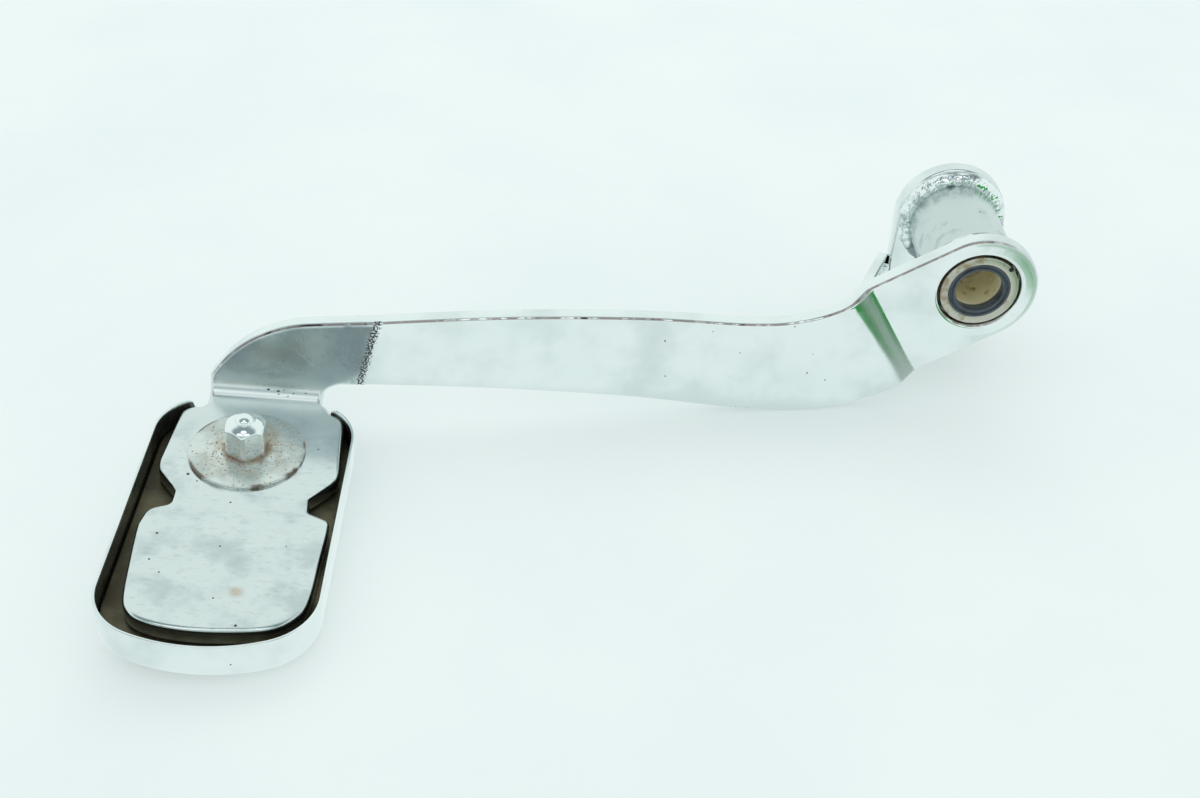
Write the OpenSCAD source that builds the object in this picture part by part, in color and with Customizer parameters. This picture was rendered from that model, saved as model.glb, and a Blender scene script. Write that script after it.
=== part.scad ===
// Foot brake pedal for a motorbike with floorboards, lying with its pad face down.
// Origin: centre of the pivot bore, halfway between the arm's front and the lever's back.
// +Y runs along the bore towards the lever, +X points away from the pad, +Z is up.

/* [Pivot] */
// Bore of the two pivot bushes
bore_d = 15.875; // [14:0.125:17]
// Outer diameter of the bushes
bush_d = 19.05; // [18.5:0.25:20.5]
// Length of each bush
bush_len = 16; // [10:0.5:19]
// Outer diameter of the lip seals
seal_d = 21.3; // [21:0.1:24]
// Depth of each seal's counterbore
seal_depth = 5; // [4:0.25:7]
// Outer diameter of the pivot tube between the plates
tube_d = 31.75; // [30.5:0.25:34]
// Diameter of the tube's turned-down ends
spigot_d = 27; // [25.5:0.25:27.5]
// Hole for the tube's ends in the eye and in the lever
eye_hole_d = 28.6; // [28:0.2:29.6]
// Grease space between the bushes
grease_d = 17.5; // [17:0.25:18.5]
// Clear distance between the arm's eye and the lever
plate_gap = 43.15; // [40:0.5:60]

/* [Plates] */
// Thickness of the arm and of the lever
plate_t = 6.35; // [5:0.25:8]
// Width of the ledge between the tube and the rim of the eye and of the lever
eye_ledge = 4.4; // [4.4:0.1:6]
// Thickness of the brace between the strip and the lever
brace_t = 4; // [3:0.25:6]
// Leg of the weld beads round the tube
weld_leg = 4.4; // [3:0.1:4.4]
// Leg of the weld beads along the brace
brace_weld_leg = 3; // [2:0.25:4]

/* [Arm] */
// Distance from the pivot bore to the middle of the pad
reach = 247.9; // [240:0.5:260]
// Slope of the arm's tail where it leaves the eye
tail_angle = 30; // [26:0.5:34]
// Distance from the bore to the first bend of the joggle
joggle_start = 31; // [29:0.5:34]
// Bend angle of the joggle
joggle_angle = 33; // [25:0.5:40]
// Inner radius of the joggle's bends
joggle_r = 3; // [2:0.25:4]
// Distance that the joggle brings the strip forward
joggle_offset = 5; // [4.5:0.25:7]
// Slant of the strip towards the rider
strip_slant = 3.35; // [2:0.05:5]
// Bend angle between the strip and the web over the pad
web_bend = 3.07; // [1:0.01:5]
// Lean of that bend line from the upright
web_bend_lean = 19; // [10:1:25]
// Distance from the pad's middle to that bend line
web_bend_in = 36.2; // [32:0.5:45]
// Height of the strip's upper edge over its middle, from the bore
strip_top = -2.1; // [-4:0.1:0]
// Height of the dip in the upper edge before the tail
strip_dip = -8.4; // [-11:0.1:-6]
// Height of the lower edge beside the pad
strip_start = -27.4; // [-29:0.1:-25]
// Lowest point of the strip
strip_low = -46.4; // [-50:0.1:-44]
// Radius of the web's rounded upper corner
web_corner_r = 46; // [40:1:52]

/* [Pad plate] */
// Height of the bend over the pad, from the bore
pad_bend_z = -26.4; // [-28:0.1:-25]
// Bend angle between web and pad plate
pad_bend = 92.7; // [88:0.1:95]
// Distance from the pad's middle to the bend
pad_bend_at = 55.7; // [54:0.1:58]
// Slope of the pad, lower towards the pivot
pad_tilt = 5.8; // [3:0.1:8]
// Mean gap between the pad plate's sides and the cup
pad_plate_gap = 3.75; // [3:0.05:5.5]
// Length of the pad plate from its near end to the bend
pad_plate_l = 106.3; // [100:0.5:108]
// Distance that the pad plate sits off the pad's middle
pad_plate_shift = 1.1; // [0:0.1:1.5]
// Width of the neck between pad plate and web
neck_w = 38; // [34:0.5:40]
// Inner radius of the bend between pad plate and web
pad_bend_r = 5.06; // [3:0.1:7]
// Depth of the two side notches
notch_depth = 7.2; // [4:0.2:9]
// Length of the notches' floors
notch_floor_l = 6; // [4:0.5:10]
// Length of the slope from a notch's floor to its far corner
notch_slope_l = 10; // [6:0.5:14]
// Distance of the notches' floors beyond the pad's middle
notch_at = 5.7; // [2:0.2:10]
// Radius of the pad plate's near end
pad_end_r = 70; // [60:1:90]
// Corner radius at the near end of the pad plate
pad_corner_r = 12; // [8:0.5:14]
// Corner radius at the shoulders by the neck
shoulder_r = 8; // [6:0.5:9]
// Distance from the shoulders to the bend
shoulder_in = 4.5; // [4.5:0.1:8]

/* [Pad] */
// Width inside the pad's metal cup
cup_in_w = 64.9; // [63:0.2:68]
// Length inside the cup
cup_in_l = 116.6; // [112:0.2:120]
// Radius of the cup's two ends
cup_end_r = 55.6; // [50:0.5:62]
// Radius of the cup's four corners
cup_corner_r = 19.3; // [16:0.5:22]
// Sheet thickness of the cup
cup_wall = 0.9; // [0.7:0.1:1.2]
// Outer height of the cup
cup_h = 13.9; // [13:0.1:16]
// Height of the cup's rim above the pad plate
cup_rim = 2; // [1:0.1:3]
// Outer radius between the cup's wall and its face
cup_edge_r = 4; // [3:0.25:5]
// Width of the cut-out for the neck in the far wall
cup_gap_w = 46; // [42:0.5:50]
// Width of the face's border round the rubber
cup_border = 6; // [5:0.25:8]
// Thickness of the backing plate
backing_t = 1.9; // [1.5:0.1:2.5]
// Distance that the rubber stands out of the cup's face
rubber_proud = 0.2; // [0:0.1:1]
// Number of ribs across the rubber
rib_count = 12; // [8:1:16]

/* [Fastening] */
// Distance of the stud beyond the pad's middle
stud_at = 29.35; // [27:0.5:32]
// Distance of the stud from the pad's middle line
stud_side = -0.95; // [-1.5:0.05:1.5]
// Diameter of the stud
stud_d = 7.94; // [7:0.02:8.6]
// Hole for the stud in the pad plate
stud_hole_d = 11; // [10:0.5:13]
// Outer diameter of the washer
washer_d = 38.1; // [32:0.5:42]
// Hole in the washer
washer_hole_d = 8.7; // [8.65:0.05:9.5]
// Thickness of the washer
washer_t = 1.8; // [1.4:0.1:2.5]
// Width across the nut's flats
nut_af = 12.7; // [12:0.1:14]
// Overall height of the cap nut
nut_h = 16; // [14:0.5:18]
// Height of the nut's six flat faces
nut_hex_h = 12; // [10:0.5:13]
// Turn of the nut on its stud
nut_turn = -16; // [-30:1:30]

/* [Lever] */
// Distance of the rod hole below the bore
rod_down = 34.2; // [32:0.2:40]
// Distance of the rod hole beside the bore
rod_side = -8.6; // [-10:0.2:-6]
// Hole for the brake rod's pin
rod_hole_d = 7.94; // [6:0.02:10]
// Radius of the lever's small end
rod_end_r = 12; // [10:0.25:13]

/* [Brace] */
// Distance of the brace's foot on the strip from the bore
brace_out = 43; // [41:0.5:46]
// Distance of its upper edge below the tail's upper edge
brace_in = 5.1; // [4:0.1:8]
// Width of the brace at the strip
brace_strip_w = 19.5; // [14:0.5:22]
// Width of the brace at the lever
brace_lever_w = 16.2; // [10:0.2:20]

/* [Hidden] */
$fn = 96;
big = 400;
// Inset and overlap where two curved pieces of one solid run into each other
seam = 0.02;
lap_angle = 0.3;
// Room before and behind the eye's face that holds the whole folded plate
fold_room = 40;
eye_r = tube_d / 2 + eye_ledge;
lever_y = plate_t + plate_gap;
total_y = lever_y + plate_t;

// Where the joggle ends and where the strip starts, along the tail from the bore
joggle_rise = (2 * joggle_r + plate_t) * (1 - cos(joggle_angle));
ramp_l = (joggle_offset - joggle_rise) / sin(joggle_angle);
joggle_run = (2 * joggle_r + plate_t) * sin(joggle_angle) + ramp_l * cos(joggle_angle);
joggle_end = joggle_start + joggle_run;

// Points on the arm's face, as [x, z]
tail_dir = [-cos(tail_angle), -sin(tail_angle)];
tail_up = [-sin(tail_angle), cos(tail_angle)];
tail_top = joggle_end * tail_dir + eye_r * tail_up;
tail_low = joggle_end * tail_dir - eye_r * tail_up;
pad_x = -reach;
neck_right = pad_x + neck_w / 2;
web_bend_x = pad_x + web_bend_in;
dip_x = tail_top[0] - 20;
low_x = tail_low[0] - 34;

// A point of the smooth curve between b and c, with a and d as its neighbours
function spline(a, b, c, d, t) =
    0.5 * (2 * b + (c - a) * t + (2 * a - 5 * b + 4 * c - d) * t * t
        + (3 * b - a - 3 * c + d) * t * t * t);
// The smooth curve through all points but the first and the last
function curve(p, n = 8) = [
    for (i = [1 : len(p) - 3]) for (k = [0 : n - 1])
        spline(p[i - 1], p[i], p[i + 1], p[i + 2], k / n),
    p[len(p) - 2]
];
// Points of an arc from angle a0 to a1
function arc(c, r, a0, a1, n = 16) = [
    for (k = [0 : n]) c + r * [cos(a0 + (a1 - a0) * k / n), sin(a0 + (a1 - a0) * k / n)]
];

// Upper edge from the web's left corner to the tail, and lower edge back again
web_top = strip_top - 0.6;
corner_foot = by_bend(-neck_w / 2, 0)[0];
corner_start = 151;
corner_c = [corner_foot - web_corner_r * cos(corner_start), web_top - web_corner_r];
function upper_edge() = curve([
    [corner_c[0] - 12, web_top - 1],
    [corner_c[0], web_top],
    [web_bend_x + 45, strip_top],
    [web_bend_x + 95, (strip_top + strip_dip) / 2 + 0.9],
    [dip_x - 12, strip_dip],
    [dip_x + 6, strip_dip + 0.5],
    tail_top,
    tail_top - 10 * tail_dir
]);
function lower_edge() = curve([
    tail_low - 10 * tail_dir,
    tail_low,
    [low_x + 17, strip_low + 1.6],
    [low_x, strip_low],
    [low_x - 26, strip_low + 2.6],
    [low_x - 61, strip_low + 8.9],
    [low_x - 108, strip_start - 4.3],
    [neck_right + 14, strip_start - 0.4],
    [neck_right - 10, strip_start + 1]
]);

// A point on the web's face, u along the bend at the pad and w up from it
function by_bend(u, w) = [
    pad_x + u * cos(pad_tilt) + w * sin(pad_tilt),
    pad_bend_z - u * sin(pad_tilt) + w * cos(pad_tilt)
];
// The arm's face as seen along the bore, with the neck a little past the bend at the pad
module arm_face() {
    neck_u = neck_w / 2 + 2 * fold_lap;
    neck_under = 3;
    difference() {
        union() {
            circle(r = eye_r);
            polygon(concat(
                [(eye_r - seam) * tail_up, -(eye_r - seam) * tail_up],
                lower_edge(),
                [by_bend(neck_u, 0.8), by_bend(neck_u, -neck_under), by_bend(-neck_u, -neck_under)],
                arc(corner_c, web_corner_r, corner_start, 90),
                upper_edge()
            ));
        }
        circle(d = eye_hole_d);
    }
}

// Placements as matrices, so that each frame can be worked out from the one before
function moved(v) = [[1, 0, 0, v[0]], [0, 1, 0, v[1]], [0, 0, 1, v[2]], [0, 0, 0, 1]];
function turned_x(a) = [[1, 0, 0, 0], [0, cos(a), -sin(a), 0], [0, sin(a), cos(a), 0], [0, 0, 0, 1]];
function turned_y(a) = [[cos(a), 0, sin(a), 0], [0, 1, 0, 0], [-sin(a), 0, cos(a), 0], [0, 0, 0, 1]];
function turned_z(a) = [[cos(a), -sin(a), 0, 0], [sin(a), cos(a), 0, 0], [0, 0, 1, 0], [0, 0, 0, 1]];
// A fold by an angle about the line through p = [x, z] that leans from the upright
function folded(p, lean, angle) =
    moved([p[0], 0, p[1]]) * turned_y(lean) * turned_z(angle) * turned_y(-lean) * moved([-p[0], 0, -p[1]]);

// Frames of the arm's flat zones, each from the one before it
strip_pivot = joggle_end * tail_dir;
web_pivot = [web_bend_x, (strip_top + strip_start) / 2];
strip_frame = moved([0, -joggle_offset, 0]) * folded(strip_pivot, -tail_angle, strip_slant);
web_frame = strip_frame * folded(web_pivot, web_bend_lean, -web_bend);
bend_frame = web_frame * moved([pad_x, -pad_bend_r, pad_bend_z]) * turned_y(pad_tilt);
pad_frame = bend_frame * turned_x(pad_bend - 90) * moved([0, -pad_bend_at, -pad_bend_r]);
module at_strip() {
    multmatrix(strip_frame) children();
}
module at_web() {
    multmatrix(web_frame) children();
}
module at_pad() {
    multmatrix(pad_frame) children();
}

// Side of the joggled plate as [distance along the tail, y], where lift is its height over the front
function joggled_side(lift) = concat(
    [[-2 * eye_r, lift]],
    arc([joggle_start, -joggle_r], joggle_r + lift, 90, 90 - joggle_angle),
    arc([joggle_end, plate_t + joggle_r - joggle_offset], joggle_r + plate_t - lift,
        270 - joggle_angle, 270 - strip_slant),
    [[joggle_end, -joggle_offset] + big * [cos(strip_slant), -sin(strip_slant)]
        + lift * [sin(strip_slant), cos(strip_slant)]]
);
// Everything behind one side of the joggled plate
module behind_joggled(lift) {
    side = joggled_side(lift);
    last = side[len(side) - 1];
    rotate([0, -tail_angle, 0])
        mirror([1, 0, 0])
            translate([0, 0, -big / 2])
                linear_extrude(big)
                    polygon(concat([[side[0][0], 2 * fold_room]], side, [[last[0], 2 * fold_room]]));
}
// Everything behind a plane at y = lift on the web
module behind_web(lift) {
    at_web() translate([-big, lift, -big / 2]) cube([2 * big, 2 * fold_room, big]);
}

// Height over the bend's start at which the upright plate is cut
fold_lap = 0.1;
// A plate that follows the joggle and the slant, then the web's own plane
module arm_upright() {
    difference() {
        intersection() {
            translate([0, fold_room, 0]) rotate([90, 0, 0]) linear_extrude(2 * fold_room) arm_face();
            behind_joggled(0);
            behind_web(0);
        }
        intersection() {
            behind_joggled(plate_t);
            behind_web(plate_t);
        }
        multmatrix(bend_frame) translate([-2 * neck_w, -fold_room, -2 * neck_w])
            cube([3 * neck_w, 2 * fold_room, 2 * neck_w + fold_lap]);
    }
}

// The bend between pad plate and web, with a short straight piece inside the plate at either end
module pad_fold() {
    sweep = 180 - pad_bend;
    leg = 2;
    turned = [cos(sweep), -sin(sweep)];
    ahead = leg * [-sin(sweep), -cos(sweep)];
    inner_r = pad_bend_r + seam;
    outer_r = pad_bend_r + plate_t - seam;
    multmatrix(bend_frame)
        rotate([90, 0, 90])
            translate([0, 0, seam - neck_w / 2])
                linear_extrude(neck_w - 2 * seam)
                    polygon(concat(
                        [[inner_r, leg]],
                        arc([0, 0], inner_r, 0, -sweep),
                        [inner_r * turned + ahead, outer_r * turned + ahead],
                        arc([0, 0], outer_r, -sweep, 0),
                        [[outer_r, leg]]
                    ));
}

// Corner circles and end arc of a rounded end: half width a, end at v = b, end radius r, corners c
function corner_v(a, b, r, c) = (b - r) + sqrt(pow(r - c, 2) - pow(a - c, 2));
module rounded_end(a, b, r, c) {
    v = corner_v(a, b, r, c);
    swing = atan2(a - c, v - (b - r));
    reach_u = r * sin(swing);
    translate([-a, 0]) square([2 * a, v]);
    intersection() {
        translate([0, b - r]) circle(r = r, $fn = 180);
        translate([-reach_u, 0]) square([2 * reach_u, b]);
    }
    for (side = [-1, 1]) translate([side * (a - c), v]) circle(r = c);
}

// One side notch of the pad plate, with a slope towards the bend
module notch(half) {
    floor_u = half - notch_depth;
    near_v = notch_at - notch_floor_l / 2;
    far_v = notch_at + notch_floor_l / 2;
    polygon([
        [half + 1, near_v - notch_depth / 2],
        [half - notch_depth / 2, near_v - 1],
        [floor_u, near_v],
        [floor_u, far_v],
        [half, far_v + notch_slope_l],
        [half + 1, far_v + notch_slope_l]
    ]);
}

pad_plate_w = cup_in_w - 2 * pad_plate_gap;
// Outline of the pad plate with its notches, from the near end to the bend
module pad_plate_outline() {
    half = pad_plate_w / 2;
    near_l = pad_plate_l - pad_bend_at;
    shoulder_v = pad_bend_at - shoulder_in;
    translate([-neck_w / 2, 0]) square([neck_w, pad_bend_at - seam]);
    translate([pad_plate_shift, 0]) difference() {
        union() {
            mirror([0, 1]) rounded_end(half, near_l, pad_end_r, pad_corner_r);
            translate([-half, -1]) square([pad_plate_w, shoulder_v - shoulder_r + 1]);
            translate([-half + shoulder_r, 0]) square([pad_plate_w - 2 * shoulder_r, shoulder_v]);
            for (side = [-1, 1])
                translate([side * (half - shoulder_r), shoulder_v - shoulder_r]) circle(r = shoulder_r);
        }
        notch(half);
        mirror([1, 0]) notch(half);
    }
}

module pedal_arm() {
    color("silver") difference() {
        union() {
            arm_upright();
            pad_fold();
            at_pad() translate([0, 0, -plate_t]) linear_extrude(plate_t) pad_plate_outline();
        }
        at_pad() translate([stud_side, stud_at, -big / 2]) cylinder(h = big, d = stud_hole_d);
    }
}

// A slab of a face with its front at y = 0
module slab() {
    translate([0, plate_t, 0]) rotate([90, 0, 0]) linear_extrude(plate_t) children();
}

module along_bore() {
    rotate([-90, 0, 0]) children();
}
// The modules put the arm's front face at y = 0, and this brings the bore's middle there
module placed() {
    translate([0, -total_y / 2, 0]) children();
}

module pivot_tube() {
    spigot_back = 0.3;
    color("lightgrey") along_bore() difference() {
        union() {
            translate([0, 0, spigot_back]) cylinder(h = total_y - 2 * spigot_back, d = spigot_d);
            translate([0, 0, plate_t]) cylinder(h = plate_gap, d = tube_d);
        }
        translate([0, 0, -1]) cylinder(h = total_y + 2, d = grease_d);
        for (z = [-1, total_y - seal_depth]) translate([0, 0, z]) cylinder(h = seal_depth + 1, d = seal_d);
        for (z = [seal_depth, total_y - seal_depth - bush_len])
            translate([0, 0, z]) cylinder(h = bush_len, d = bush_d);
    }
}

module bush() {
    color("darkgoldenrod") difference() {
        cylinder(h = bush_len, d = bush_d);
        translate([0, 0, -1]) cylinder(h = bush_len + 2, d = bore_d);
    }
}
module front_bush() {
    along_bore() translate([0, 0, seal_depth]) bush();
}
module rear_bush() {
    along_bore() translate([0, 0, total_y - seal_depth - bush_len]) bush();
}

// A lip seal with its open face at z = 0
seal_back = 0.5;
module seal() {
    lip_r = bore_d / 2 + 0.1;
    groove_r = 0.8;
    body_h = seal_depth - seal_back;
    color("dimgrey") rotate_extrude() difference() {
        translate([lip_r, 0]) square([seal_d / 2 - lip_r, body_h]);
        translate([(lip_r + seal_d / 2) / 2, 0]) circle(r = groove_r, $fn = 24);
    }
}
module front_seal() {
    along_bore() translate([0, 0, seal_back]) seal();
}
module rear_seal() {
    along_bore() translate([0, 0, total_y - seal_back]) mirror([0, 0, 1]) seal();
}

module inner_lever() {
    rod = [rod_side, -rod_down];
    reach_l = norm(rod);
    aim = atan2(rod[1], rod[0]);
    spread = acos((eye_r - rod_end_r) / reach_l);
    function side(s) = [
        (eye_r - seam) * [cos(aim + s * spread), sin(aim + s * spread)],
        rod + (rod_end_r - seam) * [cos(aim + s * spread), sin(aim + s * spread)]
    ];
    color("silver") translate([0, lever_y, 0]) slab() difference() {
        union() {
            circle(r = eye_r);
            translate(rod) circle(r = rod_end_r);
            polygon([side(-1)[0], side(-1)[1], side(1)[1], side(1)[0]]);
        }
        circle(d = eye_hole_d);
        translate(rod) circle(d = rod_hole_d);
    }
}

// Fillet bead round the tube, standing on a plate at y = 0
module ring_bead() {
    hollow_at = weld_leg * 1.35;
    hollow_r = weld_leg * 1.2;
    color("gainsboro") rotate_extrude() difference() {
        translate([tube_d / 2, 0]) square(weld_leg);
        translate([tube_d / 2 + hollow_at, hollow_at]) circle(r = hollow_r);
    }
}
module weld_front() {
    along_bore() translate([0, 0, plate_t]) ring_bead();
}
module weld_rear() {
    along_bore() translate([0, 0, lever_y]) mirror([0, 0, 1]) ring_bead();
}

// The brace runs from the strip's back to the lever's edge
brace_from = [-brace_out, 0];
brace_to = [-eye_r - brace_t * 0.3, total_y];
brace_top = (eye_r - brace_out * sin(tail_angle)) / cos(tail_angle) - brace_in;
brace_low = brace_top - brace_strip_w;
// Depth that the brace reaches into a plate before it is cut back to it
brace_lap = 3;
brace_dir = brace_to - brace_from;
brace_turn = -atan2(brace_dir[0], brace_dir[1]);
brace_l = norm(brace_dir);
module at_brace() {
    translate([brace_from[0], brace_from[1], 0]) rotate([0, 0, brace_turn]) children();
}
module brace_plate() {
    color("silver") difference() {
        at_brace()
            translate([brace_t / 2, 0, 0])
                rotate([0, -90, 0])
                    linear_extrude(brace_t)
                        polygon([
                            [brace_low, -brace_lap],
                            [brace_top, -brace_lap],
                            [brace_lever_w - rod_down, brace_l],
                            [-rod_down, brace_l]
                        ]);
        at_strip() slab() square(big, center = true);
        inner_lever();
    }
}
module weld_brace_strip() {
    color("gainsboro") difference() {
        intersection() {
            at_brace() translate([-brace_t / 2 - brace_weld_leg, -brace_lap, brace_low + 0.5])
                cube([brace_t + 2 * brace_weld_leg, 2 * brace_lap + brace_weld_leg, brace_strip_w - 2.5]);
            at_strip() translate([0, plate_t, 0]) translate([-big / 2, 0, -big / 2])
                cube([big, brace_weld_leg, big]);
        }
        brace_plate();
        pedal_arm();
    }
}
module weld_brace_lever() {
    color("gainsboro") difference() {
        at_brace() translate([-brace_t / 2, brace_l - plate_t - brace_weld_leg, 1.2 - rod_down])
            cube([brace_t + brace_weld_leg + 1, brace_weld_leg + 1, brace_lever_w - 2.2]);
        brace_plate();
        inner_lever();
        along_bore() cylinder(h = total_y, d = tube_d);
        weld_rear();
    }
}

// Rounded oblong of the pad, grown by g over the cup's inside
module pad_outline(g = 0) {
    for (end = [0, 1])
        mirror([0, end])
            rounded_end(cup_in_w / 2 + g, cup_in_l / 2 + g, cup_end_r + g, cup_corner_r + g);
}
// A section [distance outside the cup's inside, z] swept round the pad's outline
module swept_arc(r, a0, a1) {
    intersection() {
        rotate_extrude() translate([r, 0]) children();
        translate([0, 0, -big / 2]) linear_extrude(big)
            polygon([[0, 0], 2 * r * [cos(a0), sin(a0)], 2 * r * [cos(a1), sin(a1)]]);
    }
}
module round_the_pad() {
    a = cup_in_w / 2;
    b = cup_in_l / 2;
    v = corner_v(a, b, cup_end_r, cup_corner_r);
    swing = atan2(a - cup_corner_r, v - (b - cup_end_r));
    for (end = [0, 1]) mirror([0, end]) {
        translate([0, b - cup_end_r, seam])
            swept_arc(cup_end_r - seam, 90 - swing - lap_angle, 90 + swing + lap_angle) children();
        for (side = [0, 1]) mirror([side, 0]) {
            translate([a - cup_corner_r, v]) swept_arc(cup_corner_r, 0, 90 - swing) children();
            translate([a, 0]) rotate([90, 0, 0]) translate([0, 0, -v]) linear_extrude(v) children();
        }
    }
}

cup_floor = cup_rim - cup_h;
// Section of the cup's wall, its rounded edge and its border
module cup_section() {
    edge_x = cup_wall - cup_edge_r;
    edge_z = cup_floor + cup_edge_r;
    translate([0, edge_z]) square([cup_wall, cup_rim - edge_z]);
    translate([-cup_border, cup_floor]) square([cup_border + edge_x, cup_wall]);
    intersection() {
        translate([edge_x, edge_z]) difference() {
            circle(r = cup_edge_r);
            circle(r = cup_edge_r - cup_wall);
        }
        translate([edge_x, cup_floor]) square(cup_edge_r);
    }
}
module pad_cup() {
    color("silver") at_pad() difference() {
        round_the_pad() cup_section();
        translate([-cup_gap_w / 2, cup_in_l / 4, -plate_t]) cube([cup_gap_w, cup_in_l, cup_h]);
    }
}
backing_z = -plate_t - backing_t;
module backing_plate() {
    clear = 0.4;
    color("tan") at_pad() difference() {
        translate([0, 0, backing_z]) linear_extrude(backing_t) pad_outline(-clear);
        translate([stud_side, stud_at, -big / 2]) cylinder(h = big, d = stud_d);
    }
}
stud_head_h = 1.5;
stud_head_d = 18;
nut_bore_l = nut_h - 5;
module rubber_pad() {
    base_z = cup_floor + cup_wall;
    face_z = cup_floor - rubber_proud;
    clear = 0.3;
    head_room = 0.2;
    color("black") at_pad() difference() {
        union() {
            translate([0, 0, base_z]) linear_extrude(backing_z - base_z) pad_outline(-cup_edge_r);
            translate([0, 0, face_z]) linear_extrude(base_z - face_z) pad_outline(-cup_border - clear);
        }
        translate([stud_side, stud_at, backing_z - stud_head_h - head_room])
            cylinder(h = big, d = stud_head_d + 2 * head_room);
        ribs();
    }
}
// Grooves that leave the ribs across the rubber's face
module ribs() {
    groove_w = 2.4;
    groove_depth = 0.6 + rubber_proud;
    end_l = 5;
    pitch = (cup_in_l - 2 * cup_border - 2 * end_l) / rib_count;
    for (k = [0 : rib_count])
        translate([-cup_in_w / 2, (k - rib_count / 2) * pitch - groove_w / 2, cup_floor - rubber_proud - 1])
            cube([cup_in_w, groove_w, groove_depth + 1]);
}
module mounting_stud() {
    color("grey") at_pad() translate([stud_side, stud_at, 0]) {
        translate([0, 0, backing_z - stud_head_h]) cylinder(h = stud_head_h, d = stud_head_d);
        translate([0, 0, backing_z - seam])
            cylinder(h = -backing_z + washer_t + nut_bore_l, d = stud_d);
    }
}
module large_washer() {
    color("darkgrey") at_pad() translate([stud_side, stud_at, 0]) difference() {
        cylinder(h = washer_t, d = washer_d);
        translate([0, 0, -1]) cylinder(h = washer_t + 2, d = washer_hole_d);
    }
}
module cap_nut() {
    dome_r = nut_af / 2 - 0.4;
    dome_h = nut_h - nut_hex_h + 1;
    chamfer_r = nut_hex_h + nut_af * 0.93;
    color("lightgrey") at_pad() translate([stud_side, stud_at, washer_t]) rotate([0, 0, nut_turn])
        difference() {
            union() {
                intersection() {
                    cylinder(h = nut_hex_h, d = nut_af / cos(30), $fn = 6);
                    translate([0, 0, -nut_af * 0.95]) sphere(r = chamfer_r);
                }
                translate([0, 0, nut_h - dome_h]) intersection() {
                    cylinder(h = dome_h, r = dome_r);
                    translate([0, 0, dome_h - nut_af * 0.55]) sphere(r = nut_af * 0.55);
                }
            }
            translate([0, 0, -1]) cylinder(h = nut_bore_l + 1, d = stud_d);
        }
}

placed() pedal_arm();
placed() pivot_tube();
placed() inner_lever();
placed() brace_plate();
placed() weld_front();
placed() weld_rear();
placed() weld_brace_strip();
placed() weld_brace_lever();
placed() front_bush();
placed() rear_bush();
placed() front_seal();
placed() rear_seal();
placed() pad_cup();
placed() backing_plate();
placed() rubber_pad();
placed() mounting_stud();
placed() large_washer();
placed() cap_nut();
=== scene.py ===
"""Foot brake pedal lying with its pad face down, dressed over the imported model."""
import math
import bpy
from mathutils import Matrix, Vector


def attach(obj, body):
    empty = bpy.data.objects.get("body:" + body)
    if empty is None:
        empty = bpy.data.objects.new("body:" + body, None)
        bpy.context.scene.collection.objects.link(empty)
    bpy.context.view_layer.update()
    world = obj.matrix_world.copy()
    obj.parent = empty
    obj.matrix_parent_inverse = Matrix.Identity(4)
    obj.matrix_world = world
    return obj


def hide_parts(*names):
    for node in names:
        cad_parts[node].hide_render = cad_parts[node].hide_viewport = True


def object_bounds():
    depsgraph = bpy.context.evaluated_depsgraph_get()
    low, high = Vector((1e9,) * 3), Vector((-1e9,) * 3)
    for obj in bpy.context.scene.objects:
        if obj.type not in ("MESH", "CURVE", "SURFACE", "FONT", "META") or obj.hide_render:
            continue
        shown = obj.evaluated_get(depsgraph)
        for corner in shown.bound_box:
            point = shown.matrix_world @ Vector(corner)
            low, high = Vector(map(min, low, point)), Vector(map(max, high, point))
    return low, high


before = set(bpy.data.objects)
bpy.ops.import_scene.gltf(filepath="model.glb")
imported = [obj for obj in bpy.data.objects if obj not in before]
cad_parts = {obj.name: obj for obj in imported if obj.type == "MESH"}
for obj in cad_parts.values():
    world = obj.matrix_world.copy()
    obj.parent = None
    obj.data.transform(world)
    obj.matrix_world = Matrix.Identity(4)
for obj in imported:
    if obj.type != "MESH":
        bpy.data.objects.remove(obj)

from types import SimpleNamespace

import bmesh
import bpy
import numpy as np
from bpy.props import FloatProperty, FloatVectorProperty, IntProperty, PointerProperty
from mathutils import Matrix, Vector
from mathutils.geometry import delaunay_2d_cdt

bl_info = {
    "name": "Foot brake pedal",
    "version": (1, 0, 0),
    "blender": (4, 5, 0),
    "location": "3D View > Sidebar > Pedal",
    "description": "Builds a plated foot brake pedal with a rubber pad in a metal cup",
    "category": "Add Mesh",
}

CAD_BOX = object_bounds()
BODY = "root"

# Places and lengths that the part's source has too, in millimetres
MID_Y = 27.925           # from the eye's front to the origin, halfway along the bore
STUD = (-0.95, 29.35)    # on the pad plate, from the pad's middle
STUD_HOLE_R = 5.5
STUD_HEAD_R = 9.2
WASHER_HOLE_R = 4.35
GREASE_R = 8.75          # the space between the two bushes
RING_BEAD_R = 17         # of the beads round the tube
ROD = (-8.6, -34.2)      # the brake rod's hole in the inner lever
ROD_HOLE_R = 3.97
ROD_END_R = 12
BRACE = {"out": 43, "in": 5.1, "strip_w": 19.5, "lever_w": 16.2, "thick": 4}

# The camera in metres, as the pedal's own lines in the photograph give it
CAMERA_AT = (-0.13689, -0.440935, 0.27563)
CAMERA_WAY = (0.01059, 0.78937, -0.61383)
CAMERA_RIGHT = (0.9999, -0.0134, 0)
CAMERA_LENS = 43.067


# Sizes and colours that a user would change

def linear(code):
    """An sRGB hex colour as linear red, green and blue."""
    parts = [int(code[i:i + 2], 16) / 255 for i in (1, 3, 5)]
    return tuple(v / 12.92 if v <= 0.04045 else ((v + 0.055) / 1.055) ** 2.4 for v in parts)


def length(name, mm, text):
    return FloatProperty(name=name, description=text, default=mm / 1000, unit="LENGTH", precision=5)


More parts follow.
